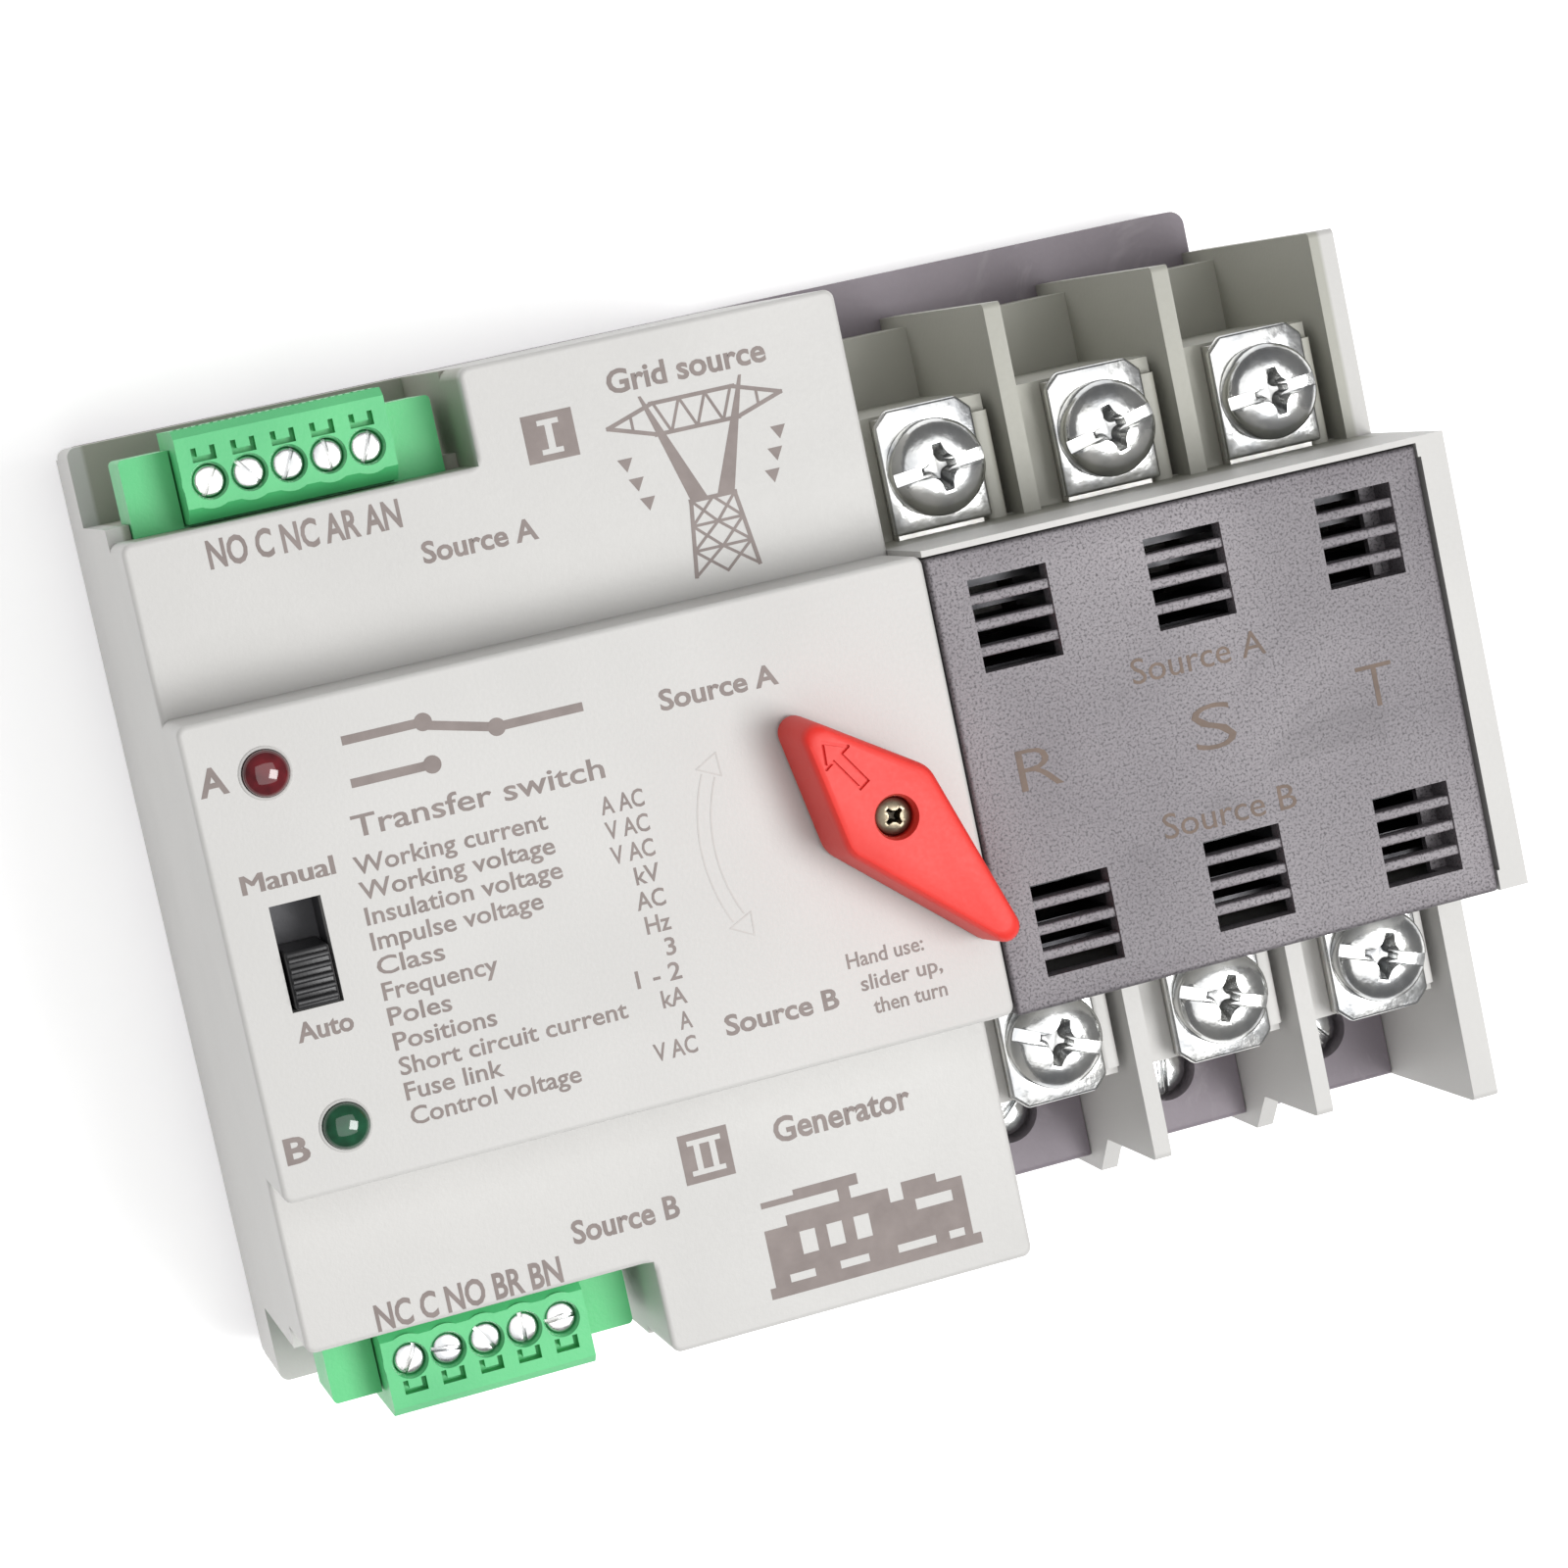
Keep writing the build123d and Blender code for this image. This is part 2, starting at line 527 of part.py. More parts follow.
with BuildPart() as solenoid_frame:
    span(plunger_x - 8.4, plunger_x + 8.4, coil_y[0] - 1.6, coil_y[1] + 1.6, plunger_z - 10.0,
         plunger_z + 8.4)
    span(plunger_x - 9, plunger_x + 9, coil_y[0] - 0.1, coil_y[1] + 0.1, plunger_z - 8.4, plunger_z + 9,
         Mode.SUBTRACT)
    with Locations(Location((plunger_x, coil_y[0] - 3, plunger_z), (-90, 0, 0))):
        Cylinder(bore_r + 0.1, 60, mode=Mode.SUBTRACT)
solenoid_frame.part.label = "solenoid_frame"
export_step(solenoid_frame.part, "parts/solenoid_frame.step")

frame_z = (42.2, 43.7)
with BuildPart() as mechanism_frame:
    span(pivot_x - 10, split_x - wall - 0.1, -21, 21, *frame_z)
    for side in (1, -1):
        span(pivot_x - 10, split_x - wall - 0.1, side * 19.5, side * 21, base_top + wall, frame_z[1])
        span(pivot_x - 3, pivot_x + 3, side * 18, side * 22, 14, 40, Mode.SUBTRACT)
    fillet(mechanism_frame.edges().filter_by(Axis.X).group_by(Axis.Z)[-1], 0.9)
    hole_z(pivot_x, 0, spindle_r + 0.06, 40, 45)
mechanism_frame.part.label = "mechanism_frame"
export_step(mechanism_frame.part, "parts/mechanism_frame.step")

with BuildPart() as aux_switches:
    for side in (1, -1):
        span(pivot_x - 9.7, pivot_x - 3.5, side * 13.0, side * 19.3, 17.0, 29.0)
        span(pivot_x - 9.0, pivot_x - 4.2, side * 13.4, side * 14.0, 29.0, 31.8)
aux_switches.part.label = "aux_switches"
export_step(aux_switches.part, "parts/aux_switches.step")

# ---------------------------------------------------------------- handle
point_deg = 180 - half_sweep
# corners of the kite outline, before they are rounded
head_len = 14.9
tail_len = 21.9
half_wide = 6.0
side_shift = 0.8       # the widest place is a little towards the point
handle_z = (front_z + 0.5, front_z + 8.5)
crank_z = (38.2, 41.6)
square = 2.45

along = (cos(radians(point_deg)), sin(radians(point_deg)), 0)
with BuildPart() as handle:
    with BuildSketch(Plane(origin=(pivot_x, 0, handle_z[0]), x_dir=along, z_dir=(0, 0, 1))) as kite:
        with BuildLine():
            Polyline((head_len, 0), (side_shift, half_wide), (-tail_len, 0), (side_shift, -half_wide),
                     close=True)
        make_face()
        fillet(kite.vertices().sort_by_distance((pivot_x, 0))[:2], 3.0)
        fillet(kite.vertices().sort_by_distance((pivot_x, 0))[-2:], 1.6)
    extrude(amount=handle_z[1] - handle_z[0])
    chamfer(handle.faces().sort_by(Axis.Z)[-1].edges(), 0.9)
    hole_z(pivot_x, 0, 1.95, handle_z[1] - 2.2, handle_z[1] + 1)
    hole_z(pivot_x, 0, 1.1, handle_z[0], handle_z[1])
    with Locations(Location((pivot_x, 0, handle_z[0] + 1.75), (0, 0, point_deg))):
        Box(2 * square + 0.1, 2 * square + 0.1, 3.6, mode=Mode.SUBTRACT)
handle.part.label = "handle"
export_step(handle.part, "parts/handle.step")

with BuildPart() as handle_screw:
    screw(pivot_x, 0, 1.85, handle_z[1] - 2.2, handle_z[1] - 0.9, 1.0, 56.0, 0, 1.2)
handle_screw.part.label = "handle_screw"
export_step(handle_screw.part, "parts/handle_screw.step")

with BuildPart() as handle_spindle:
    with Locations((pivot_x, 0, (crank_z[0] + front_z) / 2)):
        Cylinder(spindle_r, front_z - crank_z[0])
    with Locations(Location((pivot_x, 0, front_z + 1.9), (0, 0, point_deg))):
        Box(2 * square, 2 * square, 3.8)
    crank_x = pivot_x + crank_r * cos(radians(point_deg))
    with BuildSketch(Plane.XY.offset(crank_z[0])):
        with Locations((pivot_x, 0)):
            Circle(spindle_r + 0.8)
        with Locations((crank_x, slide_y)):
            Circle(2.6)
        with Locations(Location(((pivot_x + crank_x) / 2, slide_y / 2), point_deg)):
            Rectangle(crank_r, 5.2)
    extrude(amount=crank_z[1] - crank_z[0])
    with Locations((crank_x, slide_y, (slide_z[0] + 0.4 + crank_z[0]) / 2)):
        Cylinder(pin_r, crank_z[0] - slide_z[0] - 0.4)
    hole_z(pivot_x, 0, 1.03, 55.5, 66)
handle_spindle.part.label = "handle_spindle"
export_step(handle_spindle.part, "parts/handle_spindle.step")

# ---------------------------------------------------------------- mode switch, lamps and boards
board_z = (29.4, 31.0)
small_board_z = (49.9, 51.1)
knob_y = (switch_y[0] + 0.15, switch_y[0] + 5.6)
knob_x = (switch_x[0] + 0.35, switch_x[1] - 0.35)

with BuildPart() as mode_switch_body:
    span(switch_x[0] - 1.2, switch_x[1] + 1.2, switch_y[0] - 2.4, switch_y[1] + 2.4, small_board_z[1], 57.8)
    span(switch_x[0], switch_x[1], switch_y[0], switch_y[1], 53.0, 59, Mode.SUBTRACT)
mode_switch_body.part.label = "mode_switch_body"
export_step(mode_switch_body.part, "parts/mode_switch_body.step")

with BuildPart() as mode_knob:
    span(*knob_x, *knob_y, 53.4, front_z + 0.6)
    span(*knob_x, knob_y[0] + 0.9, knob_y[1] - 0.9, front_z + 0.6, front_z + 1.4)
    for n in range(4):
        low = knob_y[0] + 1.2 + n * 0.85
        span(knob_x[0] - 1, knob_x[1] + 1, low, low + 0.4, front_z + 0.9, front_z + 2, Mode.SUBTRACT)
mode_knob.part.label = "mode_knob"
export_step(mode_knob.part, "parts/mode_knob.step")

lamp_top = front_z + 1.45
for side, tag in sides:
    with BuildPart() as lamp:
        with Locations((lamp_x, side * lamp_y, 54.0)):
            Cylinder(lamp_r, lamp_top - 54.0, align=(Align.CENTER, Align.CENTER, Align.MIN))
        fillet(lamp.edges().group_by(Axis.Z)[-1], 1.1)
        with Locations((lamp_x, side * lamp_y, 54.0)):
            Cylinder(2.5, 1.0, align=(Align.CENTER, Align.CENTER, Align.MIN))
        for leg in (-1.27, 1.27):
            span(lamp_x + leg - 0.25, lamp_x + leg + 0.25, side * lamp_y - 0.25, side * lamp_y + 0.25,
                 small_board_z[1], 54.0)
    lamp.part.label = f"lamp_{tag}"
    export_step(lamp.part, f"parts/lamp_{tag}.step")

with BuildPart() as indicator_board:
    span(left + 2.6, left + 12.5, -20.0, 20.0, *small_board_z)
indicator_board.part.label = "indicator_board"
export_step(indicator_board.part, "parts/indicator_board.step")

with BuildPart() as control_board:
    span(left + 2.3, left + 31.5, -38.0, 38.0, *board_z)
    for x, y in screw_spots[:2]:
        hole_z(x, y, 1.7, 28, 32)
control_board.part.label = "control_board"
export_step(control_board.part, "parts/control_board.step")

with BuildPart() as relays:
    for side in (1, -1):
        span(left + 5.5, left + 24.5, side * 6.0, side * 21.2, board_z[1], 46.2)
    fillet(relays.edges().filter_by(Axis.Z), 0.6)
relays.part.label = "relays"
export_step(relays.part, "parts/relays.step")

with BuildPart() as capacitor:
    with Locations((left + 10.5, 0, board_z[1])):
        Cylinder(4.5, 15, align=(Align.CENTER, Align.CENTER, Align.MIN))
    fillet(capacitor.edges().group_by(Axis.Z)[-1], 0.6)
capacitor.part.label = "capacitor"
export_step(capacitor.part, "parts/capacitor.step")

# ---------------------------------------------------------------- plug-in connectors
plug_x = (left + 7.4, left + 27.7)
plug_z = (33.0, 45.0)
pin_pitch = 3.81
way_x = [(plug_x[0] + plug_x[1]) / 2 + (n - 2) * pin_pitch for n in range(5)]
plug_screw_y = 43.2
tongue_in = 35.8

for side, tag in sides:
    with BuildPart() as connector_header:
        span(*header_x, side * 33.6, side * header_y, *header_z)
        fillet(connector_header.edges().filter_by(Axis.Z).filter_by(lambda e: abs(e.center().Y) > 40), 0.5)
        span(plug_x[0] - 0.15, plug_x[1] + 0.15, side * 35.4, side * 47, header_z[0] + 1.3, header_z[1] - 1.1,
             Mode.SUBTRACT)
        span(plug_x[0] - 0.15, plug_x[1] + 0.15, side * 39.3, side * 47, header_z[0] - 1, header_z[1] + 1,
             Mode.SUBTRACT)
        for x in way_x:
            span(x - 0.5, x + 0.5, side * 33, side * 36, 35.0, 36.0, Mode.SUBTRACT)
    connector_header.part.label = f"connector_header_{tag}"
    export_step(connector_header.part, f"parts/connector_header_{tag}.step")

    with BuildPart() as header_pins:
        for x in way_x:
            span(x - 0.45, x + 0.45, side * 32.4, side * 40.0, 35.05, 35.95)
            span(x - 0.45, x + 0.45, side * 32.4, side * 33.3, board_z[1], 35.95)
    header_pins.part.label = f"header_pins_{tag}"
    export_step(header_pins.part, f"parts/header_pins_{tag}.step")

    with BuildPart() as plug:
        with BuildSketch(Plane.YZ.offset(plug_x[0])):
            with BuildLine():
                Polyline((side * tongue_in, plug_z[0]), (side * tongue_in, 38.6), (side * 39.5, 38.6),
                         (side * 39.5, 43.4), (side * 40.9, plug_z[1]), (side * 47.6, plug_z[1]),
                         (side * 48.4, 44.0), (side * 48.4, plug_z[0]), close=True)
            make_face()
        extrude(amount=plug_x[1] - plug_x[0])
        for x in way_x:
            hole_z(x, side * plug_screw_y, 1.6, 41.0, plug_z[1] + 1)
            span(x - 1.45, x + 1.45, side * 41.0, side * 49, 34.4, 39.6, Mode.SUBTRACT)
            span(x - 0.75, x + 0.75, side * 35, side * 41.5, 34.7, 36.3, Mode.SUBTRACT)
            hole_z(x, side * plug_screw_y, 1.0, 39, 42)
            span(x - 1.05, x + 1.05, side * 45.1, side * 46.4, 44.2, 46, Mode.SUBTRACT)
            span(x - 0.65, x + 0.65, side * 45.1, side * 46.0, 44.0, 44.8)
    plug.part.label = f"plug_{tag}"
    export_step(plug.part, f"parts/plug_{tag}.step")

    with BuildPart() as plug_screws:
        for x in way_x:
            screw(x, side * plug_screw_y, 1.5, 42.4, 44.5, 0.95, 38.0, 0.45, 0)
    plug_screws.part.label = f"plug_screws_{tag}"
    export_step(plug_screws.part, f"parts/plug_screws_{tag}.step")

    with BuildPart() as plug_clamps:
        for x in way_x:
            span(x - 1.4, x + 1.4, side * 41.2, side * 45.2, 34.5, 39.5)
            span(x - 0.95, x + 0.95, side * 40, side * 46, 35.0, 38.6, Mode.SUBTRACT)
            hole_z(x, side * plug_screw_y, 0.98, 38, 40)
    plug_clamps.part.label = f"plug_clamps_{tag}"
    export_step(plug_clamps.part, f"parts/plug_clamps_{tag}.step")

# ---------------------------------------------------------------- base screws
with BuildPart() as base_screws:
    for x, y in screw_spots:
        with Locations((x, y, 0)):
            with Locations((0, 0, 1.45)):
                Cylinder(2.9, 2.0)
            with Locations((0, 0, 7.1)):
                Cylinder(1.5, 9.6)
            for turn in (0, 90):
                with Locations(Location((0, 0, 0.9), (0, 0, turn))):
                    Box(3.2, 0.7, 1.4, mode=Mode.SUBTRACT)
base_screws.part.label = "base_screws"
export_step(base_screws.part, "parts/base_screws.step")
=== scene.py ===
import json
import math
import bmesh
import bpy
from mathutils import Matrix, Vector


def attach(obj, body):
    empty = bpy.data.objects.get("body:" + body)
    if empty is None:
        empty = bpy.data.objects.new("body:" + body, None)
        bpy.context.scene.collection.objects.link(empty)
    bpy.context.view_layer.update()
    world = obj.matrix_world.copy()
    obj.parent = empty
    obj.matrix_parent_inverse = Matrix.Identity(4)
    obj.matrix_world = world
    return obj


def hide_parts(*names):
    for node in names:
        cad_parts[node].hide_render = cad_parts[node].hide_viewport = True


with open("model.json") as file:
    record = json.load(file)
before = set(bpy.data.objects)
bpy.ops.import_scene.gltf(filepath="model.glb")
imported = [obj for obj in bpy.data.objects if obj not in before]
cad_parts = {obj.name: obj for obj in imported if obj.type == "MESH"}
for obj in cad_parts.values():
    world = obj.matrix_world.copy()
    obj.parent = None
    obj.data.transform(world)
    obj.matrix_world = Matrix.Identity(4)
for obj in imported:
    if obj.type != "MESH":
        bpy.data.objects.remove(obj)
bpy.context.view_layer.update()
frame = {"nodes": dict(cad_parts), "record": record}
nodes = frame["nodes"]
mm = 0.001
print("frame loaded,", len(nodes), "nodes")


# shader maths: a socket that can be added, multiplied and so on
class Wire:
    def __init__(self, finish, socket):
        self.finish = finish
        self.socket = socket

    def maths(self, operation, *others):
        values = {0: self}
        for place, other in enumerate(others):
            values[place + 1] = other
        return self.finish.node("ShaderNodeMath", {"operation": operation}, values)

    def __add__(self, other):
        return self.maths("ADD", other)

    def __radd__(self, other):
        return self.maths("ADD", other)

    def __sub__(self, other):
        return self.maths("SUBTRACT", other)

    def __rsub__(self, other):
        return self.finish.node("ShaderNodeMath", {"operation": "SUBTRACT"}, {0: other, 1: self})

    def __mul__(self, other):
        return self.maths("MULTIPLY", other)

    def __rmul__(self, other):
        return self.maths("MULTIPLY", other)

    def __truediv__(self, other):
        return self.maths("DIVIDE", other)

    def clipped(self, low, high):
        return self.finish.node("ShaderNodeMapRange", {"clamp": True},
                                {"Value": self, "From Min": low, "From Max": high})


class Finish:
    def __init__(self, name):
        self.material = bpy.data.materials.new(name)
        self.material.use_nodes = True
        self.tree = self.material.node_tree
        self.shader = self.tree.nodes["Principled BSDF"]
        self.coords = self.node("ShaderNodeTexCoord", {}, {}, "Object")

    # one node of any type: settings first, then what goes into its sockets
    def node(self, kind, settings, inputs, output=0):
        made = self.tree.nodes.new(kind)
        for key, value in settings.items():
            if key == "stops":
                ramp = made.color_ramp
                while len(ramp.elements) < len(value):
                    ramp.elements.new(0.5)
                for element, (place, colour) in zip(ramp.elements, value):
                    element.position = place
                    element.color = (*colour, 1)
            else:
                setattr(made, key, value)
        for key, value in inputs.items():
            socket = made.inputs[key]
            if isinstance(value, Wire):
                self.tree.links.new(value.socket, socket)
            else:
                socket.default_value = value
        return Wire(self, made.outputs[output])

    def noise(self, scale, detail=3.0, roughness=0.5, distortion=0.0):
        return self.node("ShaderNodeTexNoise", {}, {"Vector": self.coords, "Scale": scale, "Detail": detail,
                                                    "Roughness": roughness, "Distortion": distortion})

    def blend(self, factor, first, second):
        made = self.tree.nodes.new("ShaderNodeMix")
        made.data_type = "RGBA"
        for socket, value in ((made.inputs[0], factor), (made.inputs[6], first), (made.inputs[7], second)):
            if isinstance(value, Wire):
                self.tree.links.new(value.socket, socket)
            elif socket is made.inputs[0]:
                socket.default_value = value
            else:
                socket.default_value = (*value, 1)
        return Wire(self, made.outputs[2])

    def bump(self, height, distance, strength=1.0):
        return self.node("ShaderNodeBump", {}, {"Height": height, "Distance": distance, "Strength": strength})

    def set(self, **values):
        for key, value in values.items():
            socket = self.shader.inputs[key.replace("_", " ")]
            if isinstance(value, Wire):
                self.tree.links.new(value.socket, socket)
            elif isinstance(value, tuple):
                socket.default_value = (*value, 1)
            else:
                socket.default_value = value
        return self.material


def mouldedPlastic(name, look):
    f = Finish(name)
    cloud = f.noise(look["cloudScale"], 2.0)
    grain = f.noise(look["grainScale"], 2.0)
    colour = f.blend(cloud.clipped(0.3, 0.7), look["colour"], look["shade"])
    if "fleck" in look:
        fleck = f.noise(look["fleckScale"], 2.0, 0.6).clipped(0.48, 0.68)
        colour = f.blend(fleck * look["fleckAmount"], colour, look["fleck"])
    if "smear" in look:     # long faint rub marks
        streak = f.noise(look["smearScale"], 4.0, 0.7, distortion=2.5).clipped(0.56, 0.72)
        colour = f.blend(streak * look["smearAmount"], colour, look["smear"])
    if "wells" in look or "rim" in look:
        axis = [f.node("ShaderNodeSeparateXYZ", {}, {"Vector": f.coords}, n) for n in range(3)]
    for x0, x1, y0, y1, amount in look.get("wells", ()):     # painted shade inside the wells: duller and olive deep down in each listed region
        low, high = look["wellTop"]
        across = axis[0].clipped(x0, x0 + look["blur"]) * axis[0].clipped(x1, x1 - look["blur"])
        deep = axis[2].clipped(high, low) * across * axis[1].clipped(y0, y1)
        colour = f.blend(deep * amount, colour, look["wellShadeColour"])
    if "rim" in look:       # painted shade along the edge where it turns down
        (x, y), (wide, tall), far = look["rim"]
        edge = (axis[0] - x).maths("ABSOLUTE") - wide
        edge = edge.maths("MAXIMUM", (axis[1] - y).maths("ABSOLUTE") - tall)
        colour = f.blend(edge.clipped(-far, 0.0) * look["rimAmount"], colour, look["rimShade"])
    rough = look["rough"] + (grain - 0.5) * look["roughSpread"] + (cloud - 0.5) * 0.06
    normal = f.bump(grain, look["grainDepth"])
    return f.set(Base_Color=colour, Roughness=rough, Normal=normal)


slotShadow = (0.006, 0.006, 0.007)    # painted shadow down in a screw's driver slot


def platedSteel(name, look):
    f = Finish(name)
    cloud = f.noise(look["cloudScale"], 3.0)
    fine = f.noise(look["fineScale"], 2.0)
    colour = f.blend(cloud.clipped(0.35, 0.65), look["colour"], look["shade"])
    # painted shadow in the driver slots, from a mark that the screw shapes carry
    recess = f.node("ShaderNodeAttribute", {"attribute_name": "recess"}, {}, "Fac")
    colour = f.blend(recess, colour, slotShadow)
    rough = look["rough"] + (fine - 0.5) * 0.12 + (cloud - 0.5) * 0.12 + recess * 0.2
    return f.set(Base_Color=colour, Roughness=rough, Metallic=1.0, Normal=f.bump(fine, look["depth"]))


looks = {
    "housingGrey": {"colour": (0.628, 0.619, 0.601), "shade": (0.598, 0.590, 0.573), "cloudScale": 55.0,
                    "grainScale": 2600.0, "grainDepth": 0.00002, "rough": 0.50, "roughSpread": 0.14,
                    # regions (x span, y span, amount) deep in the wells and the connector recess that get
                    # painted shade, in the colour given below
                    "wells": ((0.0088, 0.0618, -0.028, 0.028, 0.75),
                              (-0.0618, -0.0275, 0.0375, 0.0385, 0.85)),
                    "wellTop": (0.0468, 0.0487), "blur": 0.0004, "wellShadeColour": (0.34, 0.34, 0.28)},
    "baseBlack": {"colour": (0.205, 0.178, 0.203), "shade": (0.27, 0.236, 0.266), "cloudScale": 60.0,
                  "grainScale": 2200.0, "grainDepth": 0.00003, "rough": 0.55, "roughSpread": 0.16,
                  "smear": (0.36, 0.33, 0.35), "smearScale": 45.0, "smearAmount": 0.5},
    "coverDark": {"colour": (0.31, 0.285, 0.305), "shade": (0.20, 0.183, 0.20), "cloudScale": 38.0,
                  "grainScale": 2600.0, "grainDepth": 0.00005, "rough": 0.5, "roughSpread": 0.2,
                  "fleck": (0.035, 0.03, 0.036), "fleckScale": 3900.0, "fleckAmount": 0.85,
                  "smear": (0.07, 0.064, 0.07), "smearScale": 26.0, "smearAmount": 0.4,
                  # painted shade along the cover's edge, where it turns down
                  "rim": ((0.0345, -0.000375), (0.02555, 0.022425), 0.00055), "rimAmount": 0.75,
                  "rimShade": (0.02, 0.018, 0.02)},
    "handleRed": {"colour": (0.86, 0.036, 0.024), "shade": (0.81, 0.030, 0.021), "cloudScale": 120.0,
                  "grainScale": 2400.0, "grainDepth": 0.000012, "rough": 0.5, "roughSpread": 0.1},
    "connectorGreen": {"colour": (0.10, 0.60, 0.22), "shade": (0.085, 0.54, 0.20), "cloudScale": 140.0,
                       "grainScale": 2600.0, "grainDepth": 0.000015, "rough": 0.42, "roughSpread": 0.12},
    "knobBlack": {"colour": (0.018, 0.018, 0.02), "shade": (0.03, 0.03, 0.032), "cloudScale": 200.0,
                  "grainScale": 2800.0, "grainDepth": 0.00001, "rough": 0.35, "roughSpread": 0.1},
    "mechanismPlastic": {"colour": (0.12, 0.12, 0.13), "shade": (0.09, 0.09, 0.10), "cloudScale": 110.0,
                         "grainScale": 2300.0, "grainDepth": 0.00002, "rough": 0.5, "roughSpread": 0.12},
    "boardGreen": {"colour": (0.03, 0.20, 0.08), "shade": (0.02, 0.13, 0.05), "cloudScale": 300.0,
                   "grainScale": 1800.0, "grainDepth": 0.00002, "rough": 0.35, "roughSpread": 0.1,
                   "fleck": (0.10, 0.38, 0.16), "fleckScale": 700.0, "fleckAmount": 0.8},
    "printBrown": {"colour": (0.205, 0.165, 0.152), "shade": (0.26, 0.215, 0.20), "cloudScale": 400.0,
                   "grainScale": 2600.0, "grainDepth": 0.000005, "rough": 0.5, "roughSpread": 0.1},
    "printFaint": {"colour": (0.56, 0.54, 0.52), "shade": (0.52, 0.50, 0.48), "cloudScale": 400.0,
                   "grainScale": 2600.0, "grainDepth": 0.000005, "rough": 0.5, "roughSpread": 0.1},
    "printTan": {"colour": (0.145, 0.088, 0.056), "shade": (0.11, 0.068, 0.045), "cloudScale": 400.0,
                 "grainScale": 2600.0, "grainDepth": 0.000005, "rough": 0.5, "roughSpread": 0.1},
}
metals = {
    "zincSteel": {"colour": (0.78, 0.78, 0.76), "shade": (0.52, 0.53, 0.54), "cloudScale": 260.0,
                  "fineScale": 1200.0, "rough": 0.22, "depth": 0.00003},
    # a brassy zinc tint, darkened with painted shade for the screw sunk in the handle's well
    "brassyZincPaintedShade": {"colour": (0.24, 0.20, 0.145), "shade": (0.15, 0.125, 0.09), "cloudScale": 700.0,
                 "fineScale": 1800.0, "rough": 0.3, "depth": 0.00002},
    "tinnedCopper": {"colour": (0.80, 0.79, 0.76), "shade": (0.70, 0.69, 0.66), "cloudScale": 300.0,
                     "fineScale": 1500.0, "rough": 0.34, "depth": 0.00001},
    "arcSteel": {"colour": (0.10, 0.10, 0.105), "shade": (0.06, 0.06, 0.065), "cloudScale": 300.0,
                 "fineScale": 1500.0, "rough": 0.45, "depth": 0.00001},
    "copper": {"colour": (0.80, 0.42, 0.25), "shade": (0.62, 0.30, 0.17), "cloudScale": 260.0,
               "fineScale": 1500.0, "rough": 0.32, "depth": 0.00001},
    "silverTip": {"colour": (0.88, 0.87, 0.84), "shade": (0.74, 0.73, 0.70), "cloudScale": 400.0,
                  "fineScale": 2100.0, "rough": 0.30, "depth": 0.00001},
    "coilWinding": {"colour": (0.60, 0.20, 0.07), "shade": (0.46, 0.14, 0.05), "cloudScale": 300.0,
                    "fineScale": 1700.0, "rough": 0.30, "depth": 0.00001},
}
finishes = {name: mouldedPlastic(name, look) for name, look in looks.items()}
finishes.update({name: platedSteel(name, look) for name, look in metals.items()})


def lens(name, colour, deep):
    f = Finish(name)
    cloud = f.noise(500.0, 2.0)
    return f.set(Base_Color=f.blend(cloud.clipped(0.35, 0.65), colour, deep), Roughness=0.06 + cloud * 0.05,
                 Coat_Weight=0.6)


finishes["lampRed"] = lens("lampRed", (0.16, 0.012, 0.018), (0.08, 0.006, 0.010))
finishes["lampGreen"] = lens("lampGreen", (0.012, 0.10, 0.045), (0.006, 0.05, 0.022))
slotFinish = {"housing_grey": "housingGrey", "base_black": "baseBlack", "cover_dark": "coverDark",
              "handle_red": "handleRed", "connector_green": "connectorGreen", "zinc_steel": "zincSteel",
              "copper": "copper", "silver_tip": "silverTip", "coil_winding": "coilWinding",
              "mechanism_plastic": "mechanismPlastic", "board_green": "boardGreen", "lamp_red": "lampRed",
              "lamp_green": "lampGreen", "knob_black": "knobBlack", "tinned_copper": "tinnedCopper",
              "arc_steel": "arcSteel"}
for part in frame["record"]["subparts"]:
    mesh = nodes[part["node"]].data
    mesh.materials.clear()
    mesh.materials.append(finishes[slotFinish[part["material_slot"]]])
print("finishes on", len(nodes), "nodes")


# shapes, in millimetres
def piece(name, mesh):
    thing = bpy.data.objects.new(name, mesh)
    bpy.context.scene.collection.objects.link(thing)
    return thing


def shape(name, points, faces):
    mesh = bpy.data.meshes.new(name)
    mesh.from_pydata(points, [], faces)
    work = bmesh.new()
    work.from_mesh(mesh)
    bmesh.ops.remove_doubles(work, verts=work.verts, dist=1e-5)
    bmesh.ops.recalc_face_normals(work, faces=work.faces)
    work.to_mesh(mesh)
    work.free()
    return piece(name, mesh)


# a flat outline drawn up between two levels
def prism(name, outline, low, high, topScale=1.0):
    count = len(outline)
    points = [(x, y, low) for x, y in outline] + [(x * topScale, y * topScale, high) for x, y in outline]
    faces = [list(range(count))[::-1], list(range(count, 2 * count))]
    faces += [[n, (n + 1) % count, count + (n + 1) % count, count + n] for n in range(count)]
    return shape(name, points, faces)


def block(name, x, y, z):
    return prism(name, [(x[0], y[0]), (x[1], y[0]), (x[1], y[1]), (x[0], y[1])], *z)


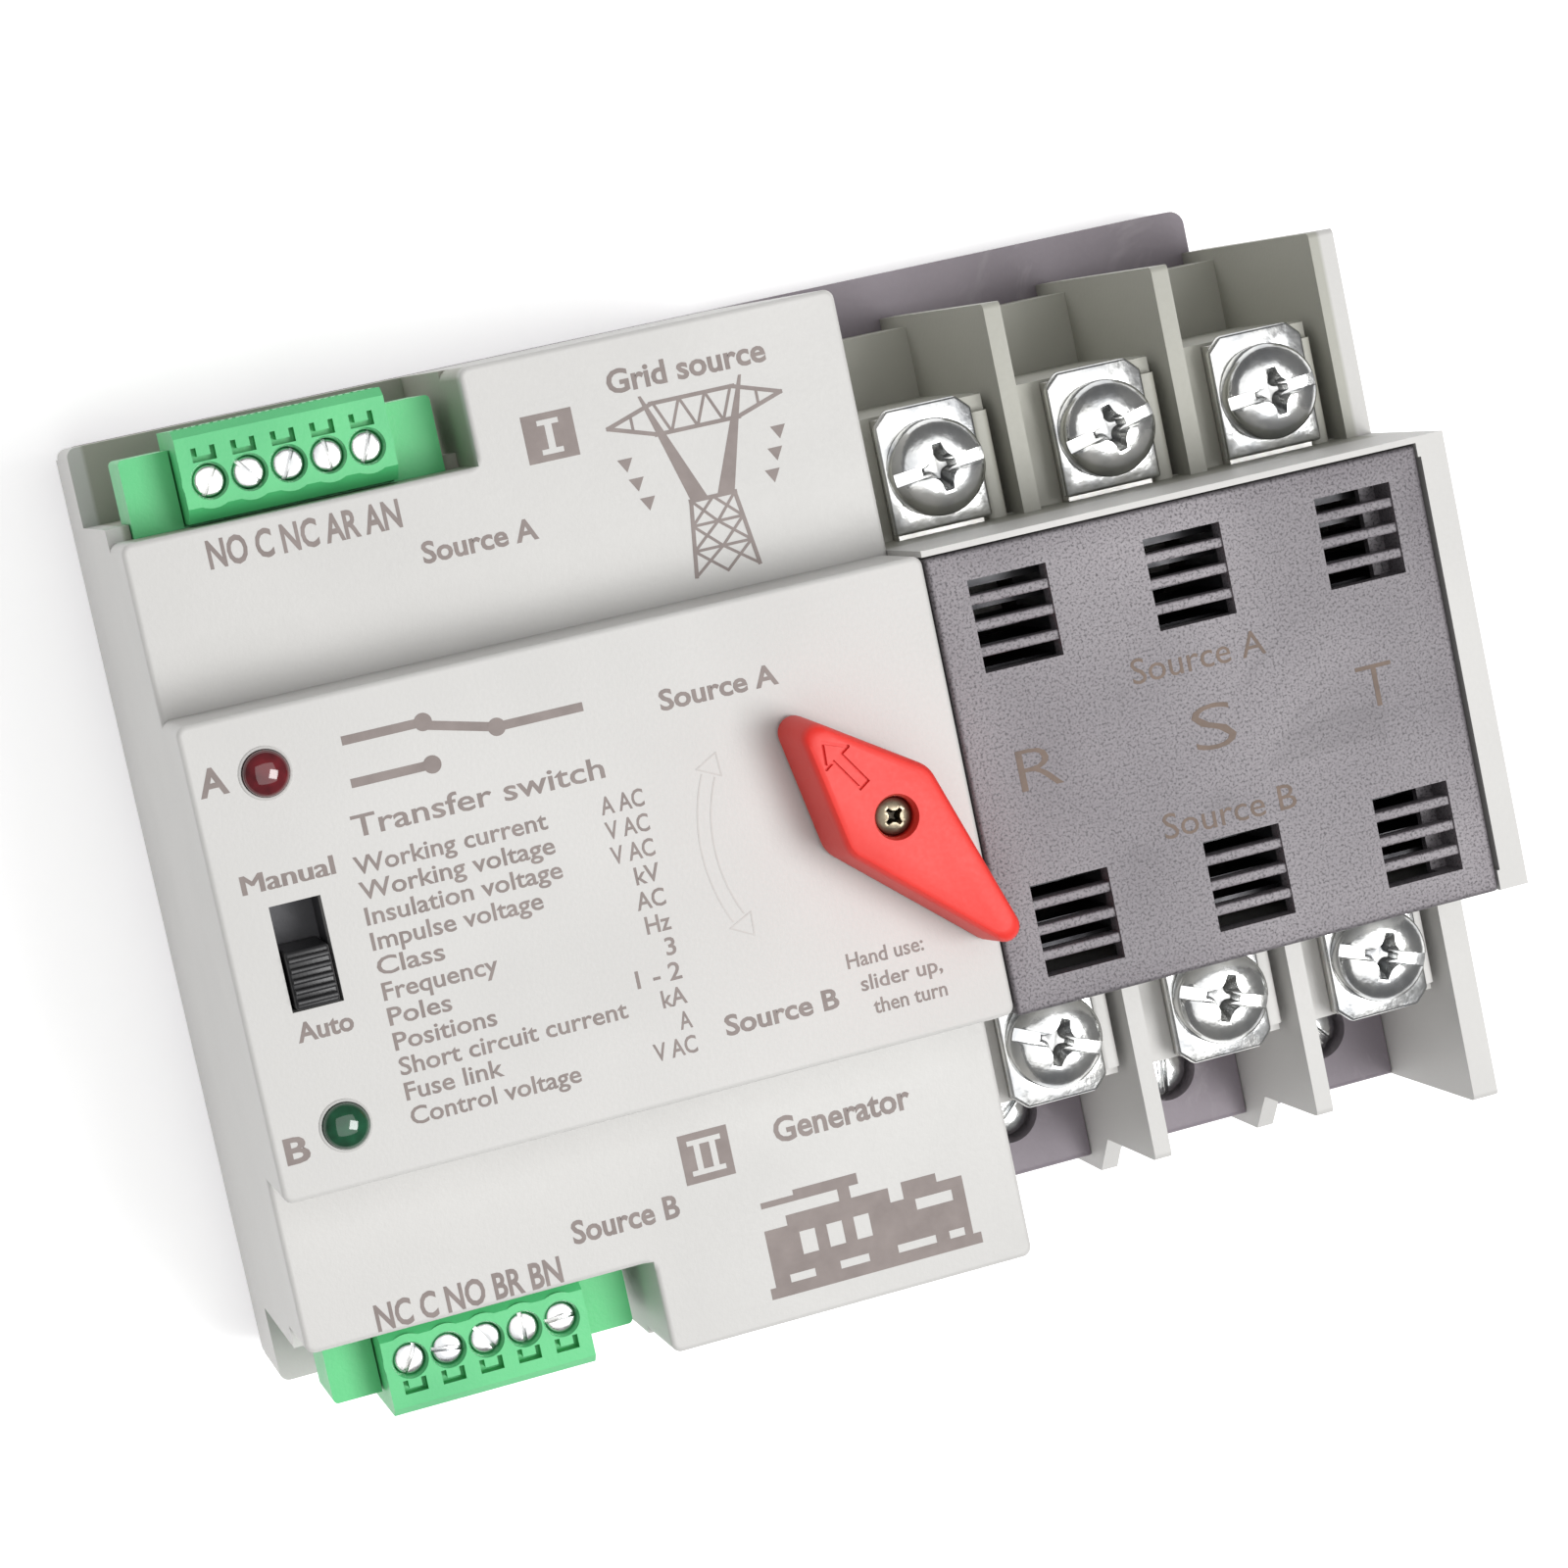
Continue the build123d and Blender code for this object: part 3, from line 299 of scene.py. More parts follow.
# a section turned round Z, given from the axis at the bottom to the axis at the top
def lathe(name, profile, steps=48):
    points, faces, rings = [], [], []
    for radius, level in profile:
        if radius == 0:
            rings.append([len(points)] * steps)
            points.append((0, 0, level))
        else:
            rings.append(list(range(len(points), len(points) + steps)))
            points += [(radius * math.cos(a), radius * math.sin(a), level)
                       for a in (math.tau * n / steps for n in range(steps))]
    for lower, upper in zip(rings, rings[1:]):
        for n in range(steps):
            corners = [lower[n], lower[(n + 1) % steps], upper[(n + 1) % steps], upper[n]]
            faces.append(list(dict.fromkeys(corners)))
    return shape(name, points, faces)


def settled(thing):
    graph = bpy.context.evaluated_depsgraph_get()
    mesh = bpy.data.meshes.new_from_object(thing.evaluated_get(graph))
    thing.modifiers.clear()
    thing.data = mesh
    return thing


def carve(thing, cutters, operation="DIFFERENCE"):
    for cutter in cutters:
        change = thing.modifiers.new("carve", "BOOLEAN")
        change.operation = operation
        change.solver = "EXACT"
        change.object = cutter
        settled(thing)
        bpy.data.objects.remove(cutter)
    return thing


def soften(thing, width, steps=2, angle=35):
    change = thing.modifiers.new("soften", "BEVEL")
    change.width = width
    change.segments = steps
    change.limit_method = "ANGLE"
    change.angle_limit = math.radians(angle)
    return settled(thing)


def moved(thing, x=0.0, y=0.0, z=0.0, turn=0.0):
    thing.data.transform(Matrix.Translation((x, y, z)) @ Matrix.Rotation(turn, 4, "Z"))
    return thing


def joined(name, things):
    work = bmesh.new()
    for thing in things:
        work.from_mesh(thing.data)
        bpy.data.objects.remove(thing)
    mesh = bpy.data.meshes.new(name)
    work.to_mesh(mesh)
    work.free()
    return piece(name, mesh)


def place(thing, name, body, slotName, finish, replaced=(), angle=32):
    thing.name = name
    mesh = thing.data
    mesh.transform(Matrix.Scale(mm, 4))
    mesh.materials.clear()
    mesh.materials.append(finishes[finish])
    mesh.shade_smooth()
    mesh.set_sharp_from_angle(angle=math.radians(angle))
    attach(thing, body)
    if replaced:
        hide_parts(*replaced)
    return thing


# geometry node trees
class Tree:
    def __init__(self, name, inputs):
        self.tree = bpy.data.node_groups.new(name, "GeometryNodeTree")
        self.face = self.tree.interface
        self.face.new_socket("Geometry", in_out="INPUT", socket_type="NodeSocketGeometry")
        self.keys = {}
        for label, kind in inputs.items():
            made = self.face.new_socket(label, in_out="INPUT", socket_type="NodeSocket" + kind)
            self.keys[label] = made.identifier
        self.face.new_socket("Geometry", in_out="OUTPUT", socket_type="NodeSocketGeometry")
        self.source = self.tree.nodes.new("NodeGroupInput")
        self.end = self.tree.nodes.new("NodeGroupOutput")

    def asked(self, label):
        return self.source.outputs[label]

    def node(self, kind, settings, inputs, output=0):
        made = self.tree.nodes.new(kind)
        for key, value in settings.items():
            setattr(made, key, value)
        for key, value in inputs.items():
            if isinstance(value, bpy.types.NodeSocket):
                self.tree.links.new(value, made.inputs[key])
            else:
                made.inputs[key].default_value = value
        return made.outputs[output]

    # every tree ends in real mesh with its material set
    def finish(self, geometry):
        real = self.node("GeometryNodeRealizeInstances", {}, {"Geometry": geometry})
        self.tree.links.new(self.node("GeometryNodeSetMaterial", {}, {"Geometry": real,
                            "Material": self.asked("Material")}), self.end.inputs[0])

    def grown(self, name, spots, values):
        thing = shape(name, spots, [])
        change = thing.modifiers.new("grow", "NODES")
        change.node_group = self.tree
        for label, value in values.items():
            change[self.keys[label]] = value
        return settled(thing)


# the same screw at every spot, each stopped at its own turn
screwTree = Tree("screws", {"Screw": "Object", "Size": "Float", "Least Turn": "Float", "Most Turn": "Float",
                            "Seed": "Int", "Material": "Material"})
screwShape = screwTree.node("GeometryNodeObjectInfo", {}, {"Object": screwTree.asked("Screw")}, "Geometry")
screwTurn = screwTree.node("FunctionNodeRandomValue", {"data_type": "FLOAT"},
                           {2: screwTree.asked("Least Turn"), 3: screwTree.asked("Most Turn"),
                            "Seed": screwTree.asked("Seed")}, 1)
screwTree.finish(screwTree.node("GeometryNodeInstanceOnPoints", {}, {
    "Points": screwTree.asked("Geometry"), "Instance": screwShape, "Scale": screwTree.asked("Size"),
    "Rotation": screwTree.node("ShaderNodeCombineXYZ", {}, {"Z": screwTurn})}))

# a row of round-edged bars at every spot, lying along X and stepping along a given way
barTree = Tree("bars", {"Bar Length": "Float", "Bar Width": "Float", "Bar Height": "Float",
                        "Edge Radius": "Float", "Count": "Int", "Step": "Vector", "Turn": "Vector",
                        "Material": "Material"})
half = barTree.node("ShaderNodeMath", {"operation": "MULTIPLY"}, {0: barTree.asked("Bar Length"), 1: 0.5})
back = barTree.node("ShaderNodeMath", {"operation": "MULTIPLY"}, {0: barTree.asked("Bar Length"), 1: -0.5})
barLine = barTree.node("GeometryNodeCurvePrimitiveLine", {}, {
    "Start": barTree.node("ShaderNodeCombineXYZ", {}, {"X": back}),
    "End": barTree.node("ShaderNodeCombineXYZ", {}, {"X": half})})
section = barTree.node("GeometryNodeCurvePrimitiveQuadrilateral", {}, {
    "Width": barTree.asked("Bar Width"), "Height": barTree.asked("Bar Height")})
section = barTree.node("GeometryNodeFilletCurve", {"mode": "POLY"}, {
    "Curve": section, "Radius": barTree.asked("Edge Radius"), "Count": 3})
bar = barTree.node("GeometryNodeCurveToMesh", {}, {
    "Curve": barLine, "Profile Curve": section, "Fill Caps": True})
barRow = barTree.node("GeometryNodeMeshLine", {}, {
    "Count": barTree.asked("Count"), "Offset": barTree.asked("Step")})
barRow = barTree.node("GeometryNodeInstanceOnPoints", {}, {
    "Points": barRow, "Instance": bar, "Rotation": barTree.asked("Turn")})
barTree.finish(barTree.node("GeometryNodeInstanceOnPoints", {}, {
    "Points": barTree.asked("Geometry"), "Instance": barRow}))

handleX = -1.1          # the handle turns about Z here, at y 0
poleX = (17.05, 35.2, 52.8)
wayX = [-45.65 + (n - 2) * 3.81 for n in range(5)]


# a four-armed driver recess, narrowing with depth
def starCutter(reach, arm, waist, low, high):
    outline = []
    for quarter in range(4):
        turn = Matrix.Rotation(quarter * math.pi / 2, 2)
        outline += [turn @ Vector((reach, -arm)), turn @ Vector((reach, arm))]
        for n in (0.2, 0.4, 0.6, 0.8):
            ends = Vector((reach, arm)) * (1 - n) ** 2 + Vector((arm, reach)) * n ** 2
            outline.append(turn @ (ends + Vector((waist, waist)) * 2 * n * (1 - n)))
    narrow = 0.45       # the floor's size beside the top's
    return prism("cutter", [(narrow * v.x, narrow * v.y) for v in outline], low, high, 1 / narrow)


def screwModel(look):
    thing = lathe("screwModel", [(0, -look["shank"]), (look["shankRadius"], -look["shank"]),
                                 (look["shankRadius"], 0)] + look["head"] + [(0, look["head"][-1][1])])
    reach = look["head"][0][0] + 1
    cutters = []
    if "slot" in look:
        half = look["slot"] / 2
        cutters.append(block("cutter", (-reach, reach), (-half, half), (look["slotFloor"], 9)))
    if "star" in look:
        cutters.append(starCutter(*look["star"]))
    soften(carve(thing, cutters), look["edge"], 2, 40)
    recess = thing.data.attributes.new("recess", "FLOAT", "POINT")      # painted shadow in the driver's slot
    inside = look["head"][1][0] * 0.97
    for vertex, mark in zip(thing.data.vertices, recess.data):
        x, y, z = vertex.co
        mark.value = look["shade"] * (0.12 < z < look["dark"] and math.hypot(x, y) < inside)
    return thing


# levels and radii from the head's underside; star: reach, half arm, waist, floor, top
# each screw also gives the level up to which its slot gets painted shadow, and under shade how strong that
# painted shadow is
screws = {
    "terminal": {"shank": 11.9, "shankRadius": 2.5, "slot": 1.35, "slotFloor": 2.0, "edge": 0.1,
                 "dark": 0.85, "shade": 0.6, "star": (2.75, 0.5, 0.55, 0.7, 4.2),
                 "head": [(4.6, 0), (4.85, 0.25), (4.85, 1.7), (4.72, 2.25), (4.4, 2.7), (3.8, 3.05),
                          (2.8, 3.35), (1.4, 3.55)]},
    "load": {"shank": 2.3, "shankRadius": 2.0, "slot": 0.9, "slotFloor": 1.1, "edge": 0.08,
             "dark": 1.3, "shade": 0.9,
             "head": [(2.65, 0), (2.8, 0.15), (2.8, 1.5), (2.6, 2.0), (2.1, 2.3), (1.0, 2.4)]},
    "plug": {"shank": 4.4, "shankRadius": 0.95, "slot": 0.42, "slotFloor": 1.2, "edge": 0.05,
             "dark": 1.35, "shade": 1.0,
             "head": [(1.4, 0), (1.5, 0.1), (1.5, 1.8), (1.4, 2.0), (1.2, 2.1)]},
    "handle": {"shank": 10.3, "shankRadius": 1.0, "edge": 0.05, "dark": 0.35, "shade": 0.8,
               "star": (1.1, 0.2, 0.2, 0.2, 1.6),
               "head": [(1.75, 0), (1.85, 0.1), (1.85, 0.7), (1.7, 1.0), (1.3, 1.22), (0.6, 1.3)]},
}
# name, screw, spots, body, nodes replaced, least turn, most turn and seed
rows = [
    ("terminalScrews", "terminal", [(x, s * 29.3, 42.4) for x in poleX for s in (1, -1)], "housing",
     ("terminal_screws_a", "terminal_screws_b"), (-0.5, 0.35, 4)),
    ("loadScrews", "load", [(x, -40.2, 18.2) for x in poleX], "housing", ("load_screws",), (0.0, 3.1, 2)),
    ("plugScrewsA", "plug", [(x, 43.2, 42.4) for x in wayX], "plug_a", ("plug_screws_a",), (-0.2, 2.2, 5)),
    ("plugScrewsB", "plug", [(x, -43.2, 42.4) for x in wayX], "plug_b", ("plug_screws_b",), (-0.2, 2.2, 9)),
]
for name, model, spots, body, replaced, (least, most, seed) in rows:
    pattern = screwModel(screws[model])
    row = screwTree.grown(name, spots, {"Screw": pattern, "Size": 1.0, "Least Turn": least, "Most Turn": most,
                                        "Seed": seed, "Material": finishes["zincSteel"]})
    bpy.data.objects.remove(pattern)
    place(row, name, body, "zinc_steel", "zincSteel", replaced)
handleScrew = moved(screwModel(screws["handle"]), handleX, 0, 66.3, 0.6)
place(handleScrew, "handleScrew", "handle", "zinc_steel", "brassyZincPaintedShade", ("handle_screw",))
print("screws made")


# the clamp plates under the terminal screws
plates = {"half": 5.1, "inner": -6.2, "outer": 6.2, "corner": 1.4, "thick": 1.2, "edge": 0.3, "y": 29.5,
          "low": 41.2, "holeRadius": 2.7, "holeY": -0.2}
half, outer, corner = plates["half"], plates["outer"], plates["corner"]
plate = prism("plateModel", [(-half, plates["inner"]), (half, plates["inner"]), (half, outer - corner),
                             (half - corner, outer), (corner - half, outer), (-half, outer - corner)],
              0, plates["thick"])
radius = plates["holeRadius"]
carve(plate, [moved(lathe("cutter", [(0, -1), (radius, -1), (radius, 3), (0, 3)]), 0, plates["holeY"])])
soften(plate, plates["edge"], 3, 30)
for name, y, side, node in (("clampPlatesA", plates["y"], 0.0, "clamp_plates_a"),
                            ("clampPlatesB", -plates["y"], math.pi, "clamp_plates_b")):
    row = screwTree.grown(name, [(x, y, plates["low"]) for x in poleX],
                          {"Screw": plate, "Size": 1.0, "Least Turn": side, "Most Turn": side, "Seed": 0,
                           "Material": finishes["zincSteel"]})
    place(row, name, "housing", "zinc_steel", "zincSteel", (node,))
bpy.data.objects.remove(plate)


# the pole cover with its six vents
cover = {"x": (8.95, 60.05), "y": (-22.8, 22.05), "z": (55.0, 60.0), "edge": 0.4,
         "hollow": ((10.8, 55.05), (-20.2, 20.2), (54, 57.8)),
         "ventX": (12.7, 30.7, 48.7), "ventY": (10.1, -19.8), "ventWide": 8.0, "ventTall": 9.0,
         "barTop": 59.7, "bars": 3, "barWide": 0.95, "barTall": 2.2, "barFirst": 2.0, "barPitch": 2.5}
panel = soften(block("panel", cover["x"], cover["y"], cover["z"]), cover["edge"], 3)
cutters = [block("cutter", *cover["hollow"])]
vents = [(x, y) for x in cover["ventX"] for y in cover["ventY"]]
for x, y in vents:
    cutters.append(block("cutter", (x, x + cover["ventWide"]), (y, y + cover["ventTall"]), (56, 61)))
carve(panel, cutters)
place(panel, "poleCoverPanel", "housing", "cover_dark", "coverDark", ("pole_cover",))
level = cover["barTop"] - cover["barTall"] / 2
spots = [(x + cover["ventWide"] / 2, y + cover["barFirst"], level) for x, y in vents]
slats = barTree.grown("ventSlats", spots,
                      {"Bar Length": cover["ventWide"] + 0.2, "Bar Width": cover["barWide"],
                       "Bar Height": cover["barTall"], "Edge Radius": 0.18, "Count": cover["bars"],
                       "Step": (0.0, cover["barPitch"], 0.0), "Turn": (0.0, 0.0, 0.0),
                       "Material": finishes["coverDark"]})
place(slats, "ventSlats", "housing", "cover_dark", "coverDark")
print("covers and plates made")


# the two plug-in connectors
plugs = {"x": (-55.8, -35.5), "bossRadius": 2.62, "well": 1.62, "screwY": 43.2, "top": 45.0, "ribs": 28,
         "section": [(35.8, 33.0), (48.4, 33.0), (48.4, 44.0), (47.6, 45.0), (40.9, 45.0), (39.5, 43.4),
                     (39.5, 38.6), (35.8, 38.6)],
         # half width, inner and outer end, low and high level
         "wireHole": (1.45, 41.0, 49, 34.4, 39.6), "pinHole": (0.75, 35, 41.5, 34.7, 36.3),
         # the U cut in the top at each way: its middle, its floor, then left and right, front and back
         "markY": 45.75, "markFloor": 43.7,
         "mark": ((-1.15, -0.65, 0, 1.35), (0.65, 1.15, 0, 1.35), (-0.7, 0.7, 0, 0.52))}
for name, side, body, node in (("plugShellA", 1, "plug_a", "plug_a"), ("plugShellB", -1, "plug_b", "plug_b")):
    count = len(plugs["section"])
    ends = [(x, side * y, z) for x in plugs["x"] for y, z in plugs["section"]]
    faces = [list(range(count)), list(range(count, 2 * count))]
    faces += [[n, (n + 1) % count, count + (n + 1) % count, count + n] for n in range(count)]
    shell = shape(name, ends, faces)
    wide, top, well = plugs["bossRadius"], plugs["top"], plugs["well"]
    line = [(0, 42.6), (wide, 42.6), (wide, top), (0, top)]
    bosses = [moved(lathe("boss", line, 32), x, side * plugs["screwY"]) for x in wayX]
    carve(shell, bosses, "UNION")
    cutters = []
    for x in wayX:
        hole = lathe("cutter", [(0, 41), (well, 41), (well, 44.6), (well + 0.25, 45.1), (0, 45.1)], 32)
        cutters.append(moved(hole, x, side * plugs["screwY"]))
        for half, inner, outer, *levels in (plugs["wireHole"], plugs["pinHole"]):
            span = sorted((side * inner, side * outer))
            cutters.append(block("cutter", (x - half, x + half), span, levels))
        low = side * plugs["markY"] - 0.65
        for left, right, near, far in plugs["mark"]:
            cutters.append(block("cutter", (x + left, x + right), (low + near, low + far),
                                 (plugs["markFloor"], 46)))
    carve(shell, cutters)
    place(shell, name, body, "connector_green", "connectorGreen", (node,))
    ribs = barTree.grown(name + "Ribs", [(plugs["x"][0] + 0.5, side * 48.28, 42.0)],
                         {"Bar Length": 3.0, "Bar Width": 0.35, "Bar Height": 0.45, "Edge Radius": 0.12,
                          "Count": plugs["ribs"], "Step": (0.715, 0.0, 0.0),
                          "Turn": (0.0, math.pi / 2, 0.0), "Material": finishes["connectorGreen"]})
    place(ribs, name + "Ribs", body, "connector_green", "connectorGreen")
print("connectors made")


# the handle: a kite with its edges eased, an arrow cut in its point and a well for its screw
grip = {"turn": math.radians(123.5), "corners": [(14.9, 0), (0.8, 6.0), (-21.9, 0), (0.8, -6.0)],
        "radii": (1.6, 3.0, 1.6, 3.0),
        # (how far in, level): a slightly drafted side and a rounded top edge
        "rings": ((0.12, 60.5), (0.0, 60.75), (0.3, 67.3), (0.38, 67.75), (0.52, 68.1), (0.75, 68.36),
                  (1.1, 68.5)),
        # the arrow is drawn from its tip back along the handle, as a grooved outline
        "arrow": [(10.0, 0), (8.0, 1.45), (8.0, 0.5), (4.4, 0.5), (4.4, -0.5), (8.0, -0.5), (8.0, -1.45)],
        "groove": 0.3, "grooveFloor": 68.1,
        "well": [(0, 66.25), (1.95, 66.25), (1.95, 68.0), (2.2, 68.55), (0, 68.55)]}


def roundedOutline(corners, radii, steps=8):
    outline = []
    for n, (corner, radius) in enumerate(zip(corners, radii)):
        here = Vector(corner)
        before = (Vector(corners[n - 1]) - here).normalized()
        after = (Vector(corners[(n + 1) % len(corners)]) - here).normalized()
        opening = before.angle(after) / 2
        centre = here + (before + after).normalized() * radius / math.sin(opening)
        first = (here + before * radius / math.tan(opening) - centre).normalized()
        last = (here + after * radius / math.tan(opening) - centre).normalized()
        for step in range(steps + 1):
            outline.append(tuple(centre + first.slerp(last, step / steps) * radius))
    return outline


grown = []
for inset, level in grip["rings"]:
    corners = [(x - inset * 2.3 * (x > 5) + inset * 3.3 * (x < -5), y - inset * 1.12 * ((y > 0) - (y < 0)))
               for x, y in grip["corners"]]
    scaled = roundedOutline(corners, [max(r - inset * 0.55, 0.5) for r in grip["radii"]])
    grown.append([(x, y, level) for x, y in scaled])
count = len(grown[0])
points = [p for ring in grown for p in ring]
faces = [list(range(count)), list(range(len(points) - count, len(points)))]
for ring in range(len(grown) - 1):
    at = ring * count
    faces += [[at + n, at + (n + 1) % count, at + count + (n + 1) % count, at + count + n]
              for n in range(count)]
handleBody = shape("handleBody", points, faces)
cutters = []
for start, stop in zip(grip["arrow"], grip["arrow"][1:] + grip["arrow"][:1]):
    way = Vector(stop) - Vector(start)
    middle = (Vector(start) + Vector(stop)) / 2
    reach, half = way.length / 2 + 0.13, grip["groove"] / 2
    cutters.append(moved(block("cutter", (-reach, reach), (-half, half), (grip["grooveFloor"], 69)),
                         middle.x, middle.y, 0, math.atan2(way.y, way.x)))
cutters.append(lathe("cutter", grip["well"]))
carve(handleBody, cutters)
moved(handleBody, handleX, 0, 0, grip["turn"])
place(handleBody, "handleBody", "handle", "handle_red", "handleRed", ("handle",), 25)


# the mode slider
knob = {"x": (-58.2, -54.05), "y": (-5.2, 0.25), "z": (53.4, 60.65), "edge": 0.3,
        "ridges": 5, "ridgePitch": 0.98, "firstRidge": (-56.125, -4.45, 60.85)}
slider = soften(block("slider", knob["x"], knob["y"], knob["z"]), knob["edge"], 3)
ridges = barTree.grown("ridges", [knob["firstRidge"]],
                       {"Bar Length": 3.7, "Bar Width": 0.55, "Bar Height": 0.9, "Edge Radius": 0.2,
                        "Count": knob["ridges"], "Step": (0.0, knob["ridgePitch"], 0.0),
                        "Turn": (0.0, 0.0, 0.0), "Material": finishes["knobBlack"]})
slider = joined("modeSlider", [slider, ridges])
place(slider, "modeSlider", "mode_knob", "knob_black", "knobBlack", ("mode_knob",))

# the lamps: a dome on a flange, on two leads
lampLook = {"x": -56.1, "y": 16.65, "radius": 2.15, "flange": 2.5, "low": 54.0, "side": 60.3, "top": 61.45,
            "leadFoot": 51.1, "leadX": (-1.27, 1.27), "leadHalf": 0.25}
for name, way, slotName, finish, node in (("lampDomeA", 1, "lamp_red", "lampRed", "lamp_a"),
                                          ("lampDomeB", -1, "lamp_green", "lampGreen", "lamp_b")):
    radius, low, rise = lampLook["radius"], lampLook["low"], lampLook["top"] - lampLook["side"]
    dome = [(radius * math.cos(a), lampLook["side"] + rise * math.sin(a))
            for a in [math.radians(7.5 * n) for n in range(12)]]
    base = [(0, low), (lampLook["flange"], low), (lampLook["flange"], low + 1), (radius, low + 1)]
    lamp, half = [lathe("lamp", base + dome + [(0, lampLook["top"])])], lampLook["leadHalf"]
    for x in lampLook["leadX"]:
        lamp.append(block("lead", (x - half, x + half), (-half, half), (lampLook["leadFoot"], low + 0.1)))
    lamp = moved(joined(name, lamp), lampLook["x"], way * lampLook["y"])
    place(lamp, name, "housing", slotName, finish, (node,))

# a thin collar round each lamp
collar = [(2.2, 60.0), (2.5, 60.0), (2.5, 60.08), (2.38, 60.16), (2.26, 60.12), (2.2, 60.0)]
collars = [moved(lathe("collar", collar, 40), lampLook["x"], way * lampLook["y"]) for way in (1, -1)]
place(joined("lampCollars", collars), "lampCollars", "housing", "housing_grey", "housingGrey")
print("handle, slider and lamps made")


# printing
inkLow, inkHigh = -0.01, 0.03
capHeight = 0.70        # of the built-in font's capitals, at size 1
shoulder, front = 49.0, 60.0


def words(text, x0, x1, baseline, cap, level, weight=0.026):
    curve = bpy.data.curves.new("words", "FONT")
    curve.body = text
    curve.resolution_u = 3
    curve.offset = weight
    curve.extrude = (inkHigh - inkLow) / 2
    thing = piece("words", curve)
    mesh = bpy.data.meshes.new_from_object(thing.evaluated_get(bpy.context.evaluated_depsgraph_get()))
    bpy.data.objects.remove(thing)
    xs = [v.co.x for v in mesh.vertices]
    tall = cap / capHeight
    wide = (x1 - x0) / (max(xs) - min(xs))
    work = bmesh.new()
    work.from_mesh(mesh)
    bmesh.ops.remove_doubles(work, verts=work.verts, dist=1e-5)
    work.to_mesh(mesh)
    work.free()
    mesh.transform(Matrix.Translation((x0, baseline, level + (inkHigh + inkLow) / 2))
                   @ Matrix.Diagonal((wide, tall, 1, 1)) @ Matrix.Translation((-min(xs), 0, 0)))
    return piece("words", mesh)


# heavier lettering: two copies side by side, made into one
def heavy(text, x0, x1, baseline, cap, level, spread=0.09):
    return merged([moved(words(text, x0, x1, baseline, cap, level, 0.0), way * spread) for way in (-1, 1)])


def patch(x0, x1, y0, y1, level):
    return block("patch", (x0, x1), (y0, y1), (level + inkLow, level + inkHigh))


def stroke(x0, y0, x1, y1, thick, level):
    reach = math.hypot(x1 - x0, y1 - y0) / 2 + thick * 0.35
    line = block("stroke", (-reach, reach), (-thick / 2, thick / 2), (level + inkLow, level + inkHigh))
    return moved(line, (x0 + x1) / 2, (y0 + y1) / 2, 0, math.atan2(y1 - y0, x1 - x0))


def outline(corners, thick, level, closed=True):
    ends = corners[1:] + corners[:1] if closed else corners[1:]
    return [stroke(*a, *b, thick, level) for a, b in zip(corners, ends)]


# strokes that cross become one solid
def merged(things):
    last = things.pop()
    drawing = joined("drawing", things)
    change = drawing.modifiers.new("merge", "BOOLEAN")
    change.operation = "UNION"
    change.solver = "EXACT"
    change.use_self = True
    change.object = last
    settled(drawing)
    bpy.data.objects.remove(last)
    return drawing


# text, left and right ends, baseline, height of the capitals, level
labels = [("NO C NC AR AN", -55.5, -37.0, 35.3, 2.6, shoulder),
          ("Source A", -35.8, -24.5, 31.4, 2.0, shoulder),
          ("NC C NO BR BN", -56.1, -37.65, -38.7, 2.5, shoulder),
          ("Source B", -35.9, -25.1, -35.5, 2.2, shoulder),
          ("Grid source", -15.0, 0.9, 43.2, 2.2, shoulder), ("Generator", -14.4, -0.3, -31.0, 2.4, shoulder),
          ("A", -62.3, -59.6, 15.75, 2.5, front), ("B", -62.1, -59.8, -18.9, 2.4, front),
          ("Auto", -58.6, -53.3, -8.15, 1.75, front),
          ("Source A", -18.9, -7.3, 13.8, 1.9, front), ("Source B", -19.3, -8.0, -17.5, 1.9, front)]
printed = [words(*label) for label in labels] + [heavy("Manual", -60.5, -51.9, 6.2, 1.8, front)]
printed += [patch(-23.9, -18.9, 38.25, 42.85, shoulder), patch(-23.9, -18.9, -32.85, -27.9, shoulder)]
raised = shoulder + inkHigh
numeralOne = [patch(-21.75, -21.05, 38.95, 42.15, raised), patch(-22.45, -20.35, 38.9, 39.4, raised),
              patch(-22.45, -20.35, 41.7, 42.2, raised)]
numeralTwo = [patch(x, x + 0.6, -32.05, -28.65, raised) for x in (-22.5, -20.9)]
numeralTwo += [patch(-23.1, -19.7, y, y + 0.5, raised) for y in (-32.1, -29.1)]
numerals = [merged(numeralOne), merged(numeralTwo)]

# a lattice tower: two leaning legs on a braced foot, under a cross arm
tower = {"armLow": 38.5, "armHigh": 41.5, "armHalf": 8.7, "foot": 24.4, "footHalf": 3.2, "waist": 31.6,
         "waistHalf": 2.2, "centre": -7.1, "line": 0.4, "brace": 0.28, "rows": 3,
         "leg": [(0.45, 31.6), (2.2, 31.6), (5.2, 42.4), (4.9, 42.4)]}
cx, level, line, brace = tower["centre"], shoulder, tower["line"], tower["brace"]
armLow, armHigh = tower["armLow"], tower["armHigh"]
middle = (armLow + armHigh) / 2
lines = []
for s in (1, -1):
    leg = [(cx + s * x, y) for x, y in tower["leg"]]
    lines.append(prism("leg", leg, level + inkLow, level + inkHigh))
    lines += outline([(cx + s * 4.0, armLow), (cx + s * tower["armHalf"], middle), (cx + s * 4.0, armHigh)],
                     line, level, False)
    lines.append(stroke(cx + s * tower["footHalf"], tower["foot"], cx + s * tower["waistHalf"],
                        tower["waist"], line, level))
    lines.append(stroke(cx + s * 6.3, middle - 0.75, cx + s * 6.3, middle + 0.75, brace, level))
